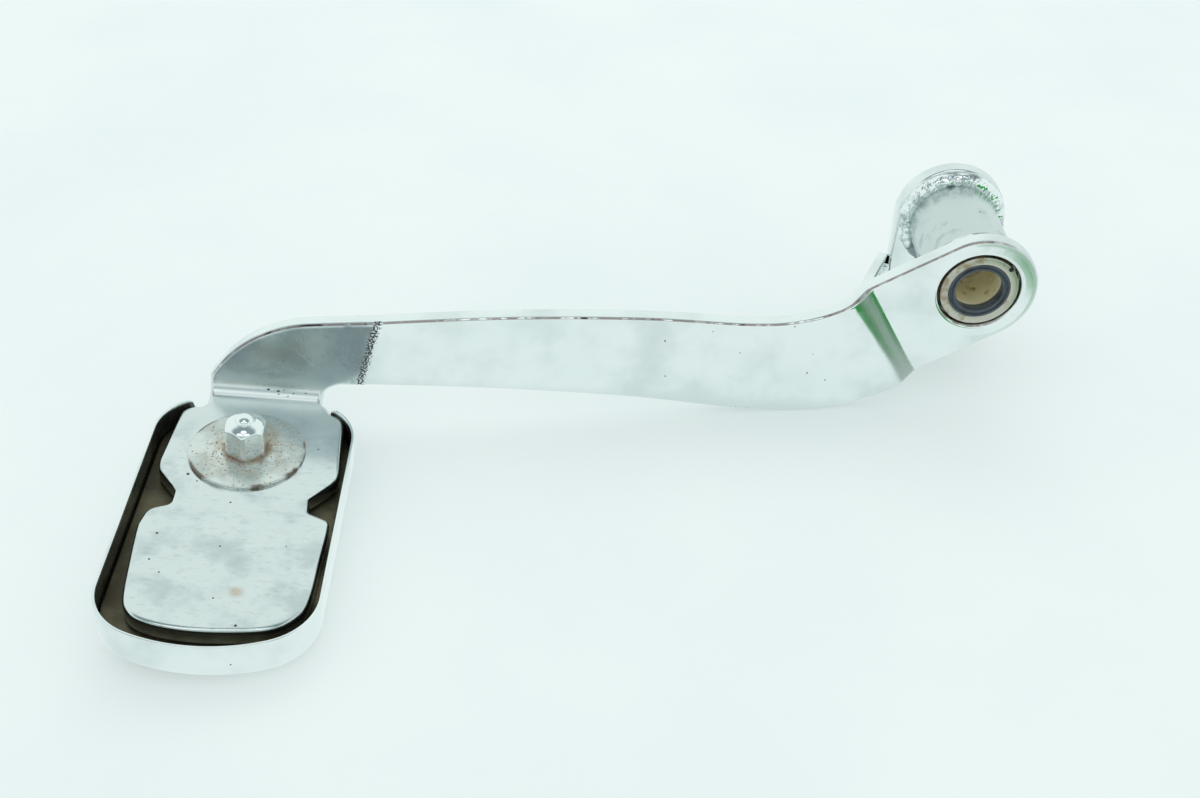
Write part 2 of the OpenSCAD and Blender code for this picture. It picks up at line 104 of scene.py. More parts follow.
def angle(name, degrees, text):
    return FloatProperty(name=name, description=text, default=math.radians(degrees), subtype="ANGLE")


def colour(name, code, text):
    return FloatVectorProperty(
        name=name, description=text, default=linear(code), subtype="COLOR", size=3, min=0, max=1)


class ArmSizes(bpy.types.PropertyGroup):
    plate_t: length("Plate thickness", 6.35, "Thickness of the arm and of the inner lever")
    edge_r: length("Edge radius", 1.3, "Radius that polishing left on the plate's edges")
    eye_ledge: length("Eye ledge", 4.4, "Width of the ledge between the tube and the eye's rim")
    tube_d: length("Tube", 31.75, "Outer diameter of the pivot tube between the plates")
    eye_hole_d: length("Eye hole", 28.6, "Hole for the pivot tube's end")
    plate_gap: length("Plate gap", 43.15, "Clear distance between the eye and the inner lever")
    reach: length("Reach", 247.9, "Distance from the pivot bore to the middle of the pad")
    tail_angle: angle("Tail slope", 30, "Slope of the tail where it leaves the eye")
    joggle_start: length("Joggle start", 31, "Distance from the bore to the joggle's first bend")
    joggle_angle: angle("Joggle angle", 33, "Bend angle of the joggle")
    joggle_r: length("Joggle radius", 3, "Inner radius of the joggle's bends")
    joggle_offset: length("Joggle offset", 5, "Distance that the joggle brings the strip forward")
    strip_slant: angle("Strip slant", 3.35, "Slant of the strip towards the rider")
    web_bend: angle("Web bend", 3.07, "Bend angle between the strip and the web over the pad")
    web_bend_lean: angle("Web bend lean", 19, "Lean of that bend line from the upright")
    neck_w: length("Neck width", 38, "Width of the neck between pad plate and web")
    pad_bend: angle("Pad bend", 92.7, "Angle between web and pad plate")
    pad_bend_r: length("Pad bend radius", 5.06, "Inner radius of the bend at the pad")


class PadSizes(bpy.types.PropertyGroup):
    cup_in_w: length("Cup width", 64.9, "Width inside the metal cup")
    cup_in_l: length("Cup length", 116.56, "Length inside the metal cup")
    cup_end_r: length("Cup end radius", 55.6, "Radius of the cup's two ends")
    cup_corner_r: length("Cup corner radius", 19.3, "Radius of the cup's four corners")
    cup_wall: length("Cup sheet", 0.9, "Sheet thickness of the cup")
    cup_h: length("Cup height", 13.9, "Outer height of the cup")
    cup_rim: length("Rim height", 2, "Height of the rim above the pad plate")
    cup_edge_r: length("Cup edge radius", 4, "Outer radius between the cup's wall and its face")
    cup_gap_w: length("Neck cut-out", 46, "Width of the cut-out for the neck")
    cup_border: length("Cup border", 6, "Width of the face's border round the rubber")
    backing_t: length("Backing thickness", 1.9, "Thickness of the backing plate")
    rib_count: IntProperty(name="Ribs", description="Number of ribs across the rubber", default=12, min=4)
    washer_d: length("Washer", 38.1, "Outer diameter of the washer")
    washer_t: length("Washer thickness", 1.2, "Thickness of the washer")
    stud_d: length("Stud", 7.94, "Diameter of the stud")
    nut_af: length("Nut", 12.7, "Width across the nut's flats")
    nut_h: length("Nut height", 14.2, "Overall height of the cap nut")
    nut_hex: length("Nut body", 11.3, "Height of the nut's six-sided body")
    nut_bore: length("Nut bore", 11.7, "Depth of the nut's threaded hole")
    nut_turn: angle("Nut turn", 0, "Turn of the nut on its stud")


class PivotSizes(bpy.types.PropertyGroup):
    bore_d: length("Bore", 15.875, "Bore of the two bushes")
    bush_d: length("Bush", 19.05, "Outer diameter of the bushes")
    bush_len: length("Bush length", 16, "Length of each bush")
    seal_d: length("Seal", 21.3, "Outer diameter of the lip seals")
    seal_depth: length("Seal depth", 5, "Depth of each seal's counterbore")
    spigot_d: length("Spigot", 27, "Diameter of the tube's turned-down ends")
    weld_leg: length("Weld leg", 4.4, "Leg of the beads round the tube")
    bead_ripples: IntProperty(name="Bead ripples", description="Ripples round each bead", default=34, min=8)


class Colours(bpy.types.PropertyGroup):
    chrome: colour("Chrome", "#EDF3F2", "Plated surfaces")
    satin: colour("Satin chrome", "#DCE4E3", "Plated surfaces dulled by use")
    rust: colour("Rust", "#6E4526", "Rust specks and stains")
    dark_olive: colour("Dark olive", "#4B4738", "Backing plate deep in the cup")
    steel: colour("Bare steel", "#C9C6BA", "Turned end of the pivot tube")
    bronze: colour("Bronze", "#EFE9C0", "Greasy bushes")
    seal: colour("Seal", "#46525B", "Lip seals")
    rubber: colour("Rubber", "#1E1F1F", "Ribbed pad")
    zinc: colour("Zinc", "#DCE2DE", "Dull washer")
    floor: colour("Floor", "#E8F3F2", "Pale table")


def sized(group):
    """The group's lengths in millimetres, its angles in degrees and its counts."""
    values = {}
    for key, prop in group.bl_rna.properties.items():
        if prop.type in {"FLOAT", "INT"}:
            value = getattr(group, key)
            scale = {"LENGTH": 1000, "ROTATION": 180 / math.pi}.get(getattr(prop, "unit", ""), 1)
            values[key] = value * scale if prop.type == "FLOAT" else value
    return SimpleNamespace(**values)


# Frames of the folded plate, in millimetres, as in the part's source

def turned(axis, degrees):
    return Matrix.Rotation(math.radians(degrees), 4, axis)


def folded(point, lean, degrees):
    """A fold about the line through point = (x, z) that leans from the upright."""
    x, z = point
    there = Matrix.Translation((x, 0, z)) @ turned("Y", lean)
    return there @ turned("Z", degrees) @ there.inverted()


def polar(r, degrees):
    return Vector((r * math.cos(math.radians(degrees)), r * math.sin(math.radians(degrees))))


def smooth(t):
    t = min(1.0, max(0.0, t))
    return t * t * (3 - 2 * t)


class Plate:
    """The arm's developed face and how it folds, from the sizes."""

    # The bend at the pad: its tilt, its height, and how far it lies from the pad's middle
    pad_tilt, pad_bend_z, pad_bend_at = 5.8, -26.4, 55.7
    # The line between web and strip, from the pad's middle, and heights of the strip's two edges
    web_bend_in = 36.2
    strip_top, strip_dip, strip_start, strip_low = -2.1, -8.4, -27.4, -46.28
    # The web's round corner, and the angle where it starts
    web_corner_r, corner_start = 46, 147

    def __init__(self, s):
        self.s = s
        a = math.radians(s.joggle_angle)
        self.mid_r = s.joggle_r + s.plate_t / 2
        rise = 2 * self.mid_r * (1 - math.cos(a))
        self.ramp = (s.joggle_offset - rise) / math.sin(a)
        self.joggle_end = s.joggle_start + 2 * self.mid_r * math.sin(a) + self.ramp * math.cos(a)
        self.tail = -polar(1, s.tail_angle)
        self.up = polar(1, s.tail_angle + 90)
        self.eye_r = s.tube_d / 2 + s.eye_ledge
        self.pad_x = -s.reach
        self.strip_pivot = self.joggle_end * self.tail
        self.web_pivot = Vector((self.pad_x + self.web_bend_in, (self.strip_top + self.strip_start) / 2))
        self.slant = folded(self.strip_pivot, -s.tail_angle, s.strip_slant)
        forward = Matrix.Translation((0, -s.joggle_offset, 0))
        self.web = forward @ self.slant @ folded(self.web_pivot, s.web_bend_lean, -s.web_bend)
        self.bend = (self.web @ Matrix.Translation((self.pad_x, -s.pad_bend_r, self.pad_bend_z))
                     @ turned("Y", self.pad_tilt))
        self.pad = (self.bend @ turned("X", s.pad_bend - 90)
                    @ Matrix.Translation((0, -self.pad_bend_at, -s.pad_bend_r)))
        self.sweep = math.radians(180 - s.pad_bend)
        self.bend_l = self.sweep * (s.pad_bend_r + s.plate_t / 2)

    def by_bend(self, u, w):
        """A point of the face, u along the bend at the pad and w up from it."""
        along = polar(1, -self.pad_tilt)
        return Vector((self.pad_x, self.pad_bend_z)) + u * along + w * Vector((-along.y, along.x))

    def on_pad(self, u, v):
        """A point of the pad plate on the developed face."""
        return self.by_bend(u, v - self.pad_bend_at - self.bend_l)

    def joggled(self, s, y):
        """Section of the joggle: along the tail and across the plate."""
        sizes, a = self.s, math.radians(self.s.joggle_angle)
        half = sizes.plate_t / 2
        if s <= sizes.joggle_start:
            return s, y
        if s >= self.joggle_end:
            return s, y - sizes.joggle_offset
        arc_l = self.mid_r * a
        run = (s - sizes.joggle_start) / (self.joggle_end - sizes.joggle_start) * (2 * arc_l + self.ramp)
        first = Vector((sizes.joggle_start, half - self.mid_r))
        if run < arc_l:
            phi = run / self.mid_r
            mid = first + self.mid_r * Vector((math.sin(phi), math.cos(phi)))
        elif run < arc_l + self.ramp:
            phi = a
            mid = (first + self.mid_r * Vector((math.sin(a), math.cos(a)))
                   + (run - arc_l) * Vector((math.cos(a), -math.sin(a))))
        else:
            phi = a - (run - arc_l - self.ramp) / self.mid_r
            second = Vector((self.joggle_end, half + self.mid_r - sizes.joggle_offset))
            mid = second - self.mid_r * Vector((math.sin(phi), math.cos(phi)))
        out = mid + (y - half) * Vector((math.sin(phi), math.cos(phi)))
        return out.x, out.y

    def place(self, p, depth):
        """Where a point of the developed face goes, depth behind the plate's front."""
        s = self.s
        away = Vector(p) - Vector((self.pad_x, self.pad_bend_z))
        along = polar(1, -self.pad_tilt)
        u, w = away.dot(along), away.dot(Vector((-along.y, along.x)))
        if w < 0 and u < 40:
            phi, rest = min(-w, self.bend_l) / self.bend_l * self.sweep, max(0.0, -w - self.bend_l)
            rho = s.pad_bend_r + depth
            return self.bend @ Vector((
                u,
                rho * math.cos(phi) - rest * math.sin(phi),
                -rho * math.sin(phi) - rest * math.cos(phi)))
        point = Vector((p[0], depth, p[1]))
        lean = polar(1, 90 - s.web_bend_lean)
        left = (Vector(p) - self.web_pivot).dot(Vector((-lean.y, lean.x)))
        if left > -4:
            point = folded(self.web_pivot, s.web_bend_lean, -s.web_bend * smooth((left + 4) / 8)) @ point
        flat = Vector((point.x, point.z))
        far = flat.dot(self.tail)
        if far > self.joggle_end - 3:
            share = smooth((far - self.joggle_end + 3) / 6)
            point = folded(self.strip_pivot, -s.tail_angle, s.strip_slant * share) @ point
            flat = Vector((point.x, point.z))
        far, y = self.joggled(flat.dot(self.tail), point.y)
        flat = far * self.tail + flat.dot(self.up) * self.up
        return Vector((flat.x, y, flat.y))

    # Outlines, anticlockwise as seen from the front

    def upper_edge(self):
        top = self.strip_top - 0.6
        corner = self.corner()
        tail_top = self.joggle_end * self.tail + self.eye_r * self.up
        bend_x, dip_x = self.web_pivot.x, tail_top.x - 20
        return through([
            (corner.x - 12, top - 1), (corner.x, top), (bend_x + 45, self.strip_top),
            (bend_x + 95, (self.strip_top + self.strip_dip) / 2 + 0.9), (dip_x - 12, self.strip_dip),
            (dip_x + 6, self.strip_dip + 0.5), tail_top, tail_top - 10 * self.tail])

    def lower_edge(self):
        low = self.strip_low
        tail_low = self.joggle_end * self.tail - self.eye_r * self.up
        low_x, neck_x = tail_low.x - 34, self.pad_x + self.s.neck_w / 2
        return through([
            tail_low - 10 * self.tail, tail_low, (low_x + 17, low + 1.6), (low_x, low),
            (low_x - 26, low + 2.6), (low_x - 61, low + 8.9), (low_x - 108, self.strip_start - 4.3),
            (neck_x + 14, self.strip_start - 0.4), (neck_x - 10, self.strip_start + 1)])

    def corner(self):
        foot = self.by_bend(-self.s.neck_w / 2, 0)
        return Vector((foot.x - self.web_corner_r * math.cos(math.radians(self.corner_start)),
                       self.strip_top - 0.6 - self.web_corner_r))

    def outline(self):
        half = self.s.neck_w / 2
        eye = [polar(self.eye_r, self.s.tail_angle - 90 + 180 * k / 60) for k in range(61)]
        web = [self.corner() + polar(self.web_corner_r, 90 + (self.corner_start - 90) * k / 20)
               for k in range(1, 21)]
        left = filleted([
            (-half, self.pad_bend_at, 0), (-half, 52.2, 2.2), (-26.5, 51.2, 5.5), (-28.3, 21.8, 12),
            (-27.4, 18.3, 2), (-20.1, 9, 2), (-20.1, 2.2, 1.8), (-26.6, -0.6, 4.5), (-27.9, -8, 0)])
        near = through([
            (-27.5, -2), (-27.9, -8), (-26.6, -23.8), (-24.9, -38.5), (-22.7, -44.1), (-18.2, -47.7),
            (-9.1, -50.1), (3.8, -50.6), (19.1, -48.6), (26.5, -43.2), (29.4, -35.7), (30.1, -18.6),
            (30.6, -7), (30.5, 0)])
        right = filleted([
            (30.6, -7, 0), (30.5, -1, 2.5), (23.2, 2.2, 1.8), (22.5, 8.8, 2), (29.9, 18.3, 2),
            (30.6, 22, 12), (29.1, 40, 12), (28.4, 50.5, 6), (23.6, 52.6, 0)])
        pad = [self.on_pad(*p) for p in left + near[1:] + right[1:]]
        relief = [self.by_bend(27.2 + 8 * c, 8 * d - 6.7)
                  for c, d in (polar(1, 225 - 135 * k / 18) for k in range(19))]
        return (eye + self.upper_edge()[::-1][1:] + web + pad + relief
                + self.lower_edge()[::-1][1:])


def through(points, n=8):
    """A smooth curve through all points but the first and the last."""
    points, out = [Vector(p) for p in points], []
    for a, b, c, d in zip(points, points[1:], points[2:], points[3:]):
        for k in range(n):
            t = k / n
            out.append(0.5 * (2 * b + (c - a) * t + (2 * a - 5 * b + 4 * c - d) * t * t
                              + (3 * b - a - 3 * c + d) * t ** 3))
    return out + [points[-2]]


def filleted(points, n=6):
    """A line through (x, y, radius) with each corner rounded."""
    out = [Vector(points[0][:2])]
    for (ax, ay, _), (bx, by, r), (cx, cy, _) in zip(points, points[1:], points[2:]):
        a, b, c = Vector((ax, ay)), Vector((bx, by)), Vector((cx, cy))
        to_a, to_c = (a - b).normalized(), (c - b).normalized()
        half = to_a.angle(to_c) / 2
        back = min(r / math.tan(half), (a - b).length * 0.49, (c - b).length * 0.49)
        start, end = b + to_a * back, b + to_c * back
        for k in range(n + 1):
            t = k / n
            out.append((1 - t) ** 2 * start + 2 * t * (1 - t) * (b * 0.75 + (start + end) * 0.125)
                       + t ** 2 * end)
    return out + [Vector(points[-1][:2])]


# Mesh helpers

def evenly(loop, step):
    """The closed loop with points about a step apart."""
    out = []
    for a, b in zip(loop, loop[1:] + loop[:1]):
        gap = (b - a).length
        if gap < step * 0.15:
            continue
        count = max(1, round(gap / step))
        out += [a.lerp(b, k / count) for k in range(count)]
    return out


def inset(loop, distance):
    """The loop moved to its left by a distance."""
    out = []
    for i, p in enumerate(loop):
        along = (loop[(i + 1) % len(loop)] - loop[i - 1]).normalized()
        out.append(p + distance * Vector((-along.y, along.x)))
    return out


def inside(points, loops):
    """Which of the points lie inside the loops, by the even-odd rule."""
    hit = np.zeros(len(points), bool)
    x, y = points[:, 0], points[:, 1]
    for loop in loops:
        ring = np.array([tuple(p) for p in loop])
        for (ax, ay), (bx, by) in zip(ring, np.roll(ring, -1, axis=0)):
            cross = (ay > y) != (by > y)
            if cross.any():
                hit ^= cross & (x < (bx - ax) * (y - ay) / (by - ay + 1e-12) + ax)
    return hit


def rounded_plate(outline, holes, thick, edge_r, place, step=2.0, grid=2.4, rings=4):
    """A plate with rounded edges. The outline runs anticlockwise, the holes clockwise, and place puts
    a point of the face, at a depth behind the front, into the part. The third result is each point
    of the developed face, and the fourth its edge: how far round the front rim, and which way out."""
    loops = [evenly([Vector(p) for p in loop], step) for loop in [outline] + holes]
    curve = [(edge_r * (1 - math.cos(t)), edge_r * (1 - math.sin(t)))
             for t in (math.pi / 2 * k / rings for k in range(rings + 1))]
    curve.append((edge_r + 0.35, 0.0))
    verts, faces, flat, edge = [], [], [], []

    def put(p, depth, front=0.0, out=Vector((0, 0))):
        verts.append(place(p, depth))
        flat.append((p[0], p[1], depth))
        edge.append((front, out[0], out[1]))
        return len(verts) - 1

    rim = []
    for loop in loops:
        ways = [(q - p).normalized() for p, q in zip(loop, inset(loop, -1))]
        strips = []
        for k, (d, drop) in reversed(list(enumerate(curve))):
            share = 1.0 if k <= rings else 0.0
            strips.append([put(p, drop, share, way) for p, way in zip(inset(loop, d), ways)])
        for k, (d, drop) in enumerate(curve):
            strips.append([put(p, thick - drop, 0.0, way) for p, way in zip(inset(loop, d), ways)])
        for low, high in zip(strips, strips[1:]):
            for i in range(len(loop)):
                j = (i + 1) % len(loop)
                faces.append((low[i], low[j], high[j], high[i]))
        rim.append((strips[0], strips[-1]))
    inner = [inset(loop, curve[-1][0]) for loop in loops]
    box = np.array([tuple(p) for p in inner[0]])
    low, high = box.min(axis=0), box.max(axis=0)
    xs, ys = np.arange(low[0], high[0], grid), np.arange(low[1], high[1], grid)
    cells = np.array([(x + (0.5 * grid if k % 2 else 0), y) for k, y in enumerate(ys) for x in xs])
    cells = cells[inside(cells, inner)]
    border = np.array([tuple(p) for loop in inner for p in loop])
    near = np.array([np.min(np.sum((border - c) ** 2, axis=1)) for c in cells])
    cells = cells[near > (0.55 * grid) ** 2]
    edges, start = [], 0
    for loop in inner:
        edges += [(start + i, start + (i + 1) % len(loop)) for i in range(len(loop))]
        start += len(loop)
    points, _, tris, origin, _, _ = delaunay_2d_cdt(
        [Vector(p) for p in np.vstack([border, cells])], edges, [], 0, 1e-5)
    middle = np.array([tuple(sum((points[i] for i in tri), Vector((0, 0))) / 3) for tri in tris])
    within = inside(middle, inner)
    for side, depth in ((0, 0.0), (1, thick)):
        ids = [i for pair in rim for i in pair[side]]
        known = [ids[o[0]] if o and o[0] < len(ids) else put(p, depth) for p, o in zip(points, origin)]
        faces += [tuple(known[i] for i in tri) for tri, solid in zip(tris, within) if solid]
    return verts, faces, flat, edge


def skin(m, n, closed=True):
    """Faces over a closed row of m sections of n points, each section closed or open."""
    return [(k * n + i, k * n + (i + 1) % n, (k + 1) % m * n + (i + 1) % n, (k + 1) % m * n + i)
            for k in range(m) for i in range(n if closed else n - 1)]


def lathe(profile, turns=128):
    """A closed profile of (radius, y) turned about the bore's axis."""
    verts = []
    for k in range(turns):
        c, s = math.cos(2 * math.pi * k / turns), math.sin(2 * math.pi * k / turns)
        verts += [Vector((r * c, y, r * s)) for r, y in profile]
    return verts, skin(turns, len(profile))


def softened(profile, r=0.25, n=3):
    """The closed profile with small rounds at its corners."""
    out, count = [], len(profile)
    for i, p in enumerate(profile):
        a, b, c = (Vector(profile[i - 1][:2]), Vector(p[:2]), Vector(profile[(i + 1) % count][:2]))
        size = p[2] if len(p) > 2 else r
        back = min(size, (a - b).length * 0.45, (c - b).length * 0.45)
        start, end = b + (a - b).normalized() * back, b + (c - b).normalized() * back
        for k in range(n + 1):
            t = k / n
            out.append(tuple((1 - t) ** 2 * start + 2 * t * (1 - t) * b + t ** 2 * end))
    return out


def piece(name, verts, faces, material, slot, replaces=(), matrix=None, **points):
    """A mesh object in the part's frame, from millimetres with y = 0 at the eye's front. Each further
    list of three values a point becomes an attribute of that name."""
    placed = Matrix.Translation((0, -MID_Y, 0)) @ (matrix or Matrix())
    mesh = bpy.data.meshes.new(name)
    mesh.from_pydata([(placed @ Vector(v)) / 1000 for v in verts], [], faces)
    for key, values in points.items():
        keep(mesh, key, values)
    return finished(name, mesh, material, slot, replaces)


def keep(mesh, name, values):
    """Keeps three values for each point of the mesh."""
    layer = mesh.attributes.new(name, "FLOAT_VECTOR", "POINT")
    layer.data.foreach_set("vector", [x for value in values for x in value])


def finished(name, mesh, material, slot, replaces=()):
    """Closes the mesh, points its faces outwards and hands the piece over."""
    shell = bmesh.new()
    shell.from_mesh(mesh)
    bmesh.ops.remove_doubles(shell, verts=shell.verts, dist=1e-6)
    bmesh.ops.recalc_face_normals(shell, faces=shell.faces)
    shell.to_mesh(mesh)
    shell.free()
    mesh.materials.clear()
    mesh.materials.append(material)
    mesh.shade_smooth()
    obj = bpy.data.objects.new(name, mesh)
    bpy.context.scene.collection.objects.link(obj)
    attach(obj, BODY)
    if replaces:
        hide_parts(*replaces)
    return obj


def from_nodes(name, tree, base, values):
    """The plain mesh that a node tree makes of a base mesh."""
    carrier = bpy.data.objects.new(name, base)
    bpy.context.scene.collection.objects.link(carrier)
    modifier = carrier.modifiers.new(name, "NODES")
    modifier.node_group = tree
    for item in tree.interface.items_tree:
        if item.item_type == "SOCKET" and item.in_out == "INPUT" and item.name in values:
            modifier[item.identifier] = values[item.name]
    bpy.context.view_layer.update()
    depsgraph = bpy.context.evaluated_depsgraph_get()
    mesh = bpy.data.meshes.new_from_object(carrier.evaluated_get(depsgraph), depsgraph=depsgraph)
    mesh.name = name
    carrier.modifiers.remove(modifier)
    bpy.data.objects.remove(carrier)
    return mesh


def add(tree, kind, sockets=None, **settings):
    """Adds a node with its settings, and with its sockets' values or links. A node given as a value
    is linked by its first output."""
    node = tree.nodes.new(kind)
    for key, value in settings.items():
        setattr(node, key, value)
    for key, value in (sockets or {}).items():
        if isinstance(value, bpy.types.Node):
            value = value.outputs[0]
        if isinstance(value, bpy.types.NodeSocket):
            tree.links.new(value, node.inputs[key])
        else:
            node.inputs[key].default_value = value
    return node


def tree_with(name, inputs):
    """An empty geometry tree with its named inputs."""
    tree = bpy.data.node_groups.new(name, "GeometryNodeTree")
    tree.interface.new_socket("Geometry", in_out="INPUT", socket_type="NodeSocketGeometry")
    for key, (kind, default) in inputs.items():
        socket = tree.interface.new_socket(key, in_out="INPUT", socket_type="NodeSocket" + kind)
        if default is not None:
            socket.default_value = default
    tree.interface.new_socket("Geometry", in_out="OUTPUT", socket_type="NodeSocketGeometry")
    return tree, add(tree, "NodeGroupInput").outputs


def bead_tree():
    """A weld bead along a path, with a ripple for each puddle and an uneven face."""
    tree, given = tree_with("weld_bead", {
        "Bead Radius": ("Float", 0.0028), "Ripple Length": ("Float", 0.003),
        "Ripple Height": ("Float", 0.0003), "Unevenness": ("Float", 0.0006),
        "Seed": ("Float", 3.0), "Material": ("Material", None)})
    path = add(tree, "GeometryNodeMeshToCurve", {"Mesh": given["Geometry"]})
    path = add(tree, "GeometryNodeResampleCurve", {"Curve": path, "Length": 0.0004}, mode="LENGTH")
    along = add(tree, "GeometryNodeSplineParameter").outputs["Length"]
    marked = add(tree, "GeometryNodeStoreNamedAttribute",
                 {"Geometry": path, "Name": "along", "Value": along}, data_type="FLOAT")
    ring = add(tree, "GeometryNodeCurvePrimitiveCircle", {"Resolution": 28, "Radius": given["Bead Radius"]})
    tube = add(tree, "GeometryNodeCurveToMesh",
               {"Curve": marked, "Profile Curve": ring, "Fill Caps": True})
    stored = add(tree, "GeometryNodeInputNamedAttribute", {"Name": "along"}, data_type="FLOAT")
    phase = add(tree, "ShaderNodeMath", {0: stored, 1: given["Ripple Length"]}, operation="DIVIDE")
    turns = add(tree, "ShaderNodeMath", {0: phase, 1: math.pi}, operation="MULTIPLY")
    wave = add(tree, "ShaderNodeMath", {0: turns}, operation="SINE")
    ridge = add(tree, "ShaderNodeMath", {0: wave}, operation="ABSOLUTE")
    ripple = add(tree, "ShaderNodeMath", {0: ridge, 1: given["Ripple Height"]}, operation="MULTIPLY")
    at = add(tree, "GeometryNodeInputPosition")
    noise = add(tree, "ShaderNodeTexNoise", {"Vector": at, "W": given["Seed"], "Scale": 270.0, "Detail": 2.0},
                noise_dimensions="4D")
    centred = add(tree, "ShaderNodeMath", {0: noise, 1: 0.55}, operation="SUBTRACT")
    uneven = add(tree, "ShaderNodeMath", {0: centred, 1: given["Unevenness"]}, operation="MULTIPLY")
    lift = add(tree, "ShaderNodeMath", {0: ripple, 1: uneven}, operation="ADD")
    normal = add(tree, "GeometryNodeInputNormal")
    offset = add(tree, "ShaderNodeVectorMath", {0: normal, "Scale": lift}, operation="SCALE")
    shaped = add(tree, "GeometryNodeSetPosition", {"Geometry": tube, "Offset": offset})
    whole = add(tree, "GeometryNodeRealizeInstances", {"Geometry": shaped})
    done = add(tree, "GeometryNodeSetMaterial", {"Geometry": whole, "Material": given["Material"]})
    add(tree, "NodeGroupOutput", {"Geometry": done})
    return tree


def rib_tree():
    """A rounded rib at each point of the base mesh, as long as the point's reach."""
    tree, given = tree_with("pad_ribs", {
        "Rib Width": ("Float", 0.0055), "Rib Height": ("Float", 0.0022), "Material": ("Material", None)})
    size = add(tree, "ShaderNodeCombineXYZ", {"X": 1.0, "Y": given["Rib Width"], "Z": given["Rib Height"]})
    block = add(tree, "GeometryNodeMeshCube", {"Size": size, "Vertices X": 24, "Vertices Y": 4,
                                               "Vertices Z": 3})
    soft = add(tree, "GeometryNodeSubdivisionSurface", {"Mesh": block, "Level": 1, "Edge Crease": 0.45})
    reach = add(tree, "GeometryNodeInputNamedAttribute", {"Name": "reach"}, data_type="FLOAT_VECTOR")
    points = add(tree, "GeometryNodeInstanceOnPoints",
                 {"Points": given["Geometry"], "Instance": soft, "Scale": reach})
    whole = add(tree, "GeometryNodeRealizeInstances", {"Geometry": points})
    done = add(tree, "GeometryNodeSetMaterial", {"Geometry": whole, "Material": given["Material"]})
    add(tree, "NodeGroupOutput", {"Geometry": done})
    return tree


# Finishes

class Finish:
    """A material under construction, laid on in layers. All its lengths are millimetres."""

    def __init__(self, name, colour, rough, metal=1.0):
        self.mat = bpy.data.materials.new(name)
        self.mat.use_nodes = True
        self.tree = self.mat.node_tree
        self.tree.nodes.clear()
        self.colour, self.rough, self.metal = (*colour[:3], 1.0), rough, metal
        self.normal = None
        at = add(self.tree, "ShaderNodeTexCoord").outputs["Object"]
        scaled = add(self.tree, "ShaderNodeVectorMath", {0: at, "Scale": 1000.0}, operation="SCALE")
        self.mm = scaled.outputs[0]
        self.x, self.y, self.z = add(self.tree, "ShaderNodeSeparateXYZ", {0: self.mm}).outputs

    def where(self, value, *steps):
        """A mask of soft steps: 0 where the value is at a step's start, 1 past the ends of them all."""
        rises = [add(self.tree, "ShaderNodeMapRange", {"Value": value, "From Min": start, "From Max": end},
                     interpolation_type="SMOOTHSTEP").outputs[0] for start, end in steps]
        return self.both(*rises)

    def both(self, *masks):
        """Where all the masks are 1."""
        shared = masks[0]
        for mask in masks[1:]:
            shared = add(self.tree, "ShaderNodeMath", {0: shared, 1: mask}, operation="MULTIPLY").outputs[0]
        return shared

    def cloud(self, size, start=0.4, end=0.6, detail=4.0, at=None):
        """Soft patches about a size across."""
        noise = add(self.tree, "ShaderNodeTexNoise",
                    {"Vector": at or self.mm, "Scale": 0.5 / size, "Detail": detail, "Roughness": 0.55})
        return self.where(noise.outputs[0], (start, end))

    def specks(self, spacing, size, share, at=None):
        """Small round specks, a share of one for each spacing."""
        cells = add(self.tree, "ShaderNodeTexVoronoi", {"Vector": at or self.mm, "Scale": 1 / spacing})
        near = self.where(cells.outputs["Distance"], (size / spacing, 0.45 * size / spacing))
        lot = add(self.tree, "ShaderNodeSeparateXYZ", {0: cells.outputs["Color"]}).outputs[0]
        return self.both(near, self.where(lot, (1 - share, 1 - share + 0.01)))

    def spot(self, at, centre, radius, soft=0.5):
        """A round spot, soft over a share of its radius."""
        away = add(self.tree, "ShaderNodeVectorMath", {0: at, 1: centre}, operation="DISTANCE")
        return self.where(away.outputs["Value"], (radius, radius * (1 - soft)))

    def streak(self, at, centre, degrees, long, wide):
        """A short straight scratch in the first two coordinates."""
        turned_at = add(self.tree, "ShaderNodeMapping", {
            "Vector": at, "Location": centre, "Rotation": (0, 0, math.radians(degrees))},
            vector_type="TEXTURE")
        away = add(self.tree, "ShaderNodeVectorMath", {0: turned_at}, operation="ABSOLUTE")
        x, y, _ = add(self.tree, "ShaderNodeSeparateXYZ", {0: away}).outputs
        return self.both(self.where(x, (long / 2, long / 4)), self.where(y, (wide / 2, wide / 6)))

    def lay(self, mask, colour=None, rough=None, metal=None, share=1.0):
        """Lays a finish over the last one where the mask is 1. Its colour is a hex code or linear."""
        factor = mask if share == 1.0 else self.both(mask, share)
        if colour is not None:
            paint = linear(colour) if isinstance(colour, str) else colour[:3]
            self.colour = add(self.tree, "ShaderNodeMix", {
                "Factor": factor, 6: self.colour, 7: (*paint, 1.0)}, data_type="RGBA").outputs[2]
        for name, value in (("rough", rough), ("metal", metal)):
            if value is not None:
                mixed = add(self.tree, "ShaderNodeMix", {"Factor": factor, 2: getattr(self, name), 3: value})
                setattr(self, name, mixed.outputs[0])

    def lift(self, height, depth, strength=1.0):
        """Raises the surface by up to a depth where the height is 1."""
        sockets = {"Height": height, "Distance": depth / 1000, "Strength": strength}
        if self.normal:
            sockets["Normal"] = self.normal
        self.normal = add(self.tree, "ShaderNodeBump", sockets).outputs[0]

    def done(self, **sockets):
        sockets.update({"Base Color": self.colour, "Roughness": self.rough, "Metallic": self.metal})
        if self.normal:
            sockets["Normal"] = self.normal
        shader = add(self.tree, "ShaderNodeBsdfPrincipled", sockets)
        add(self.tree, "ShaderNodeOutputMaterial", {"Surface": shader.outputs[0]})
        return self.mat


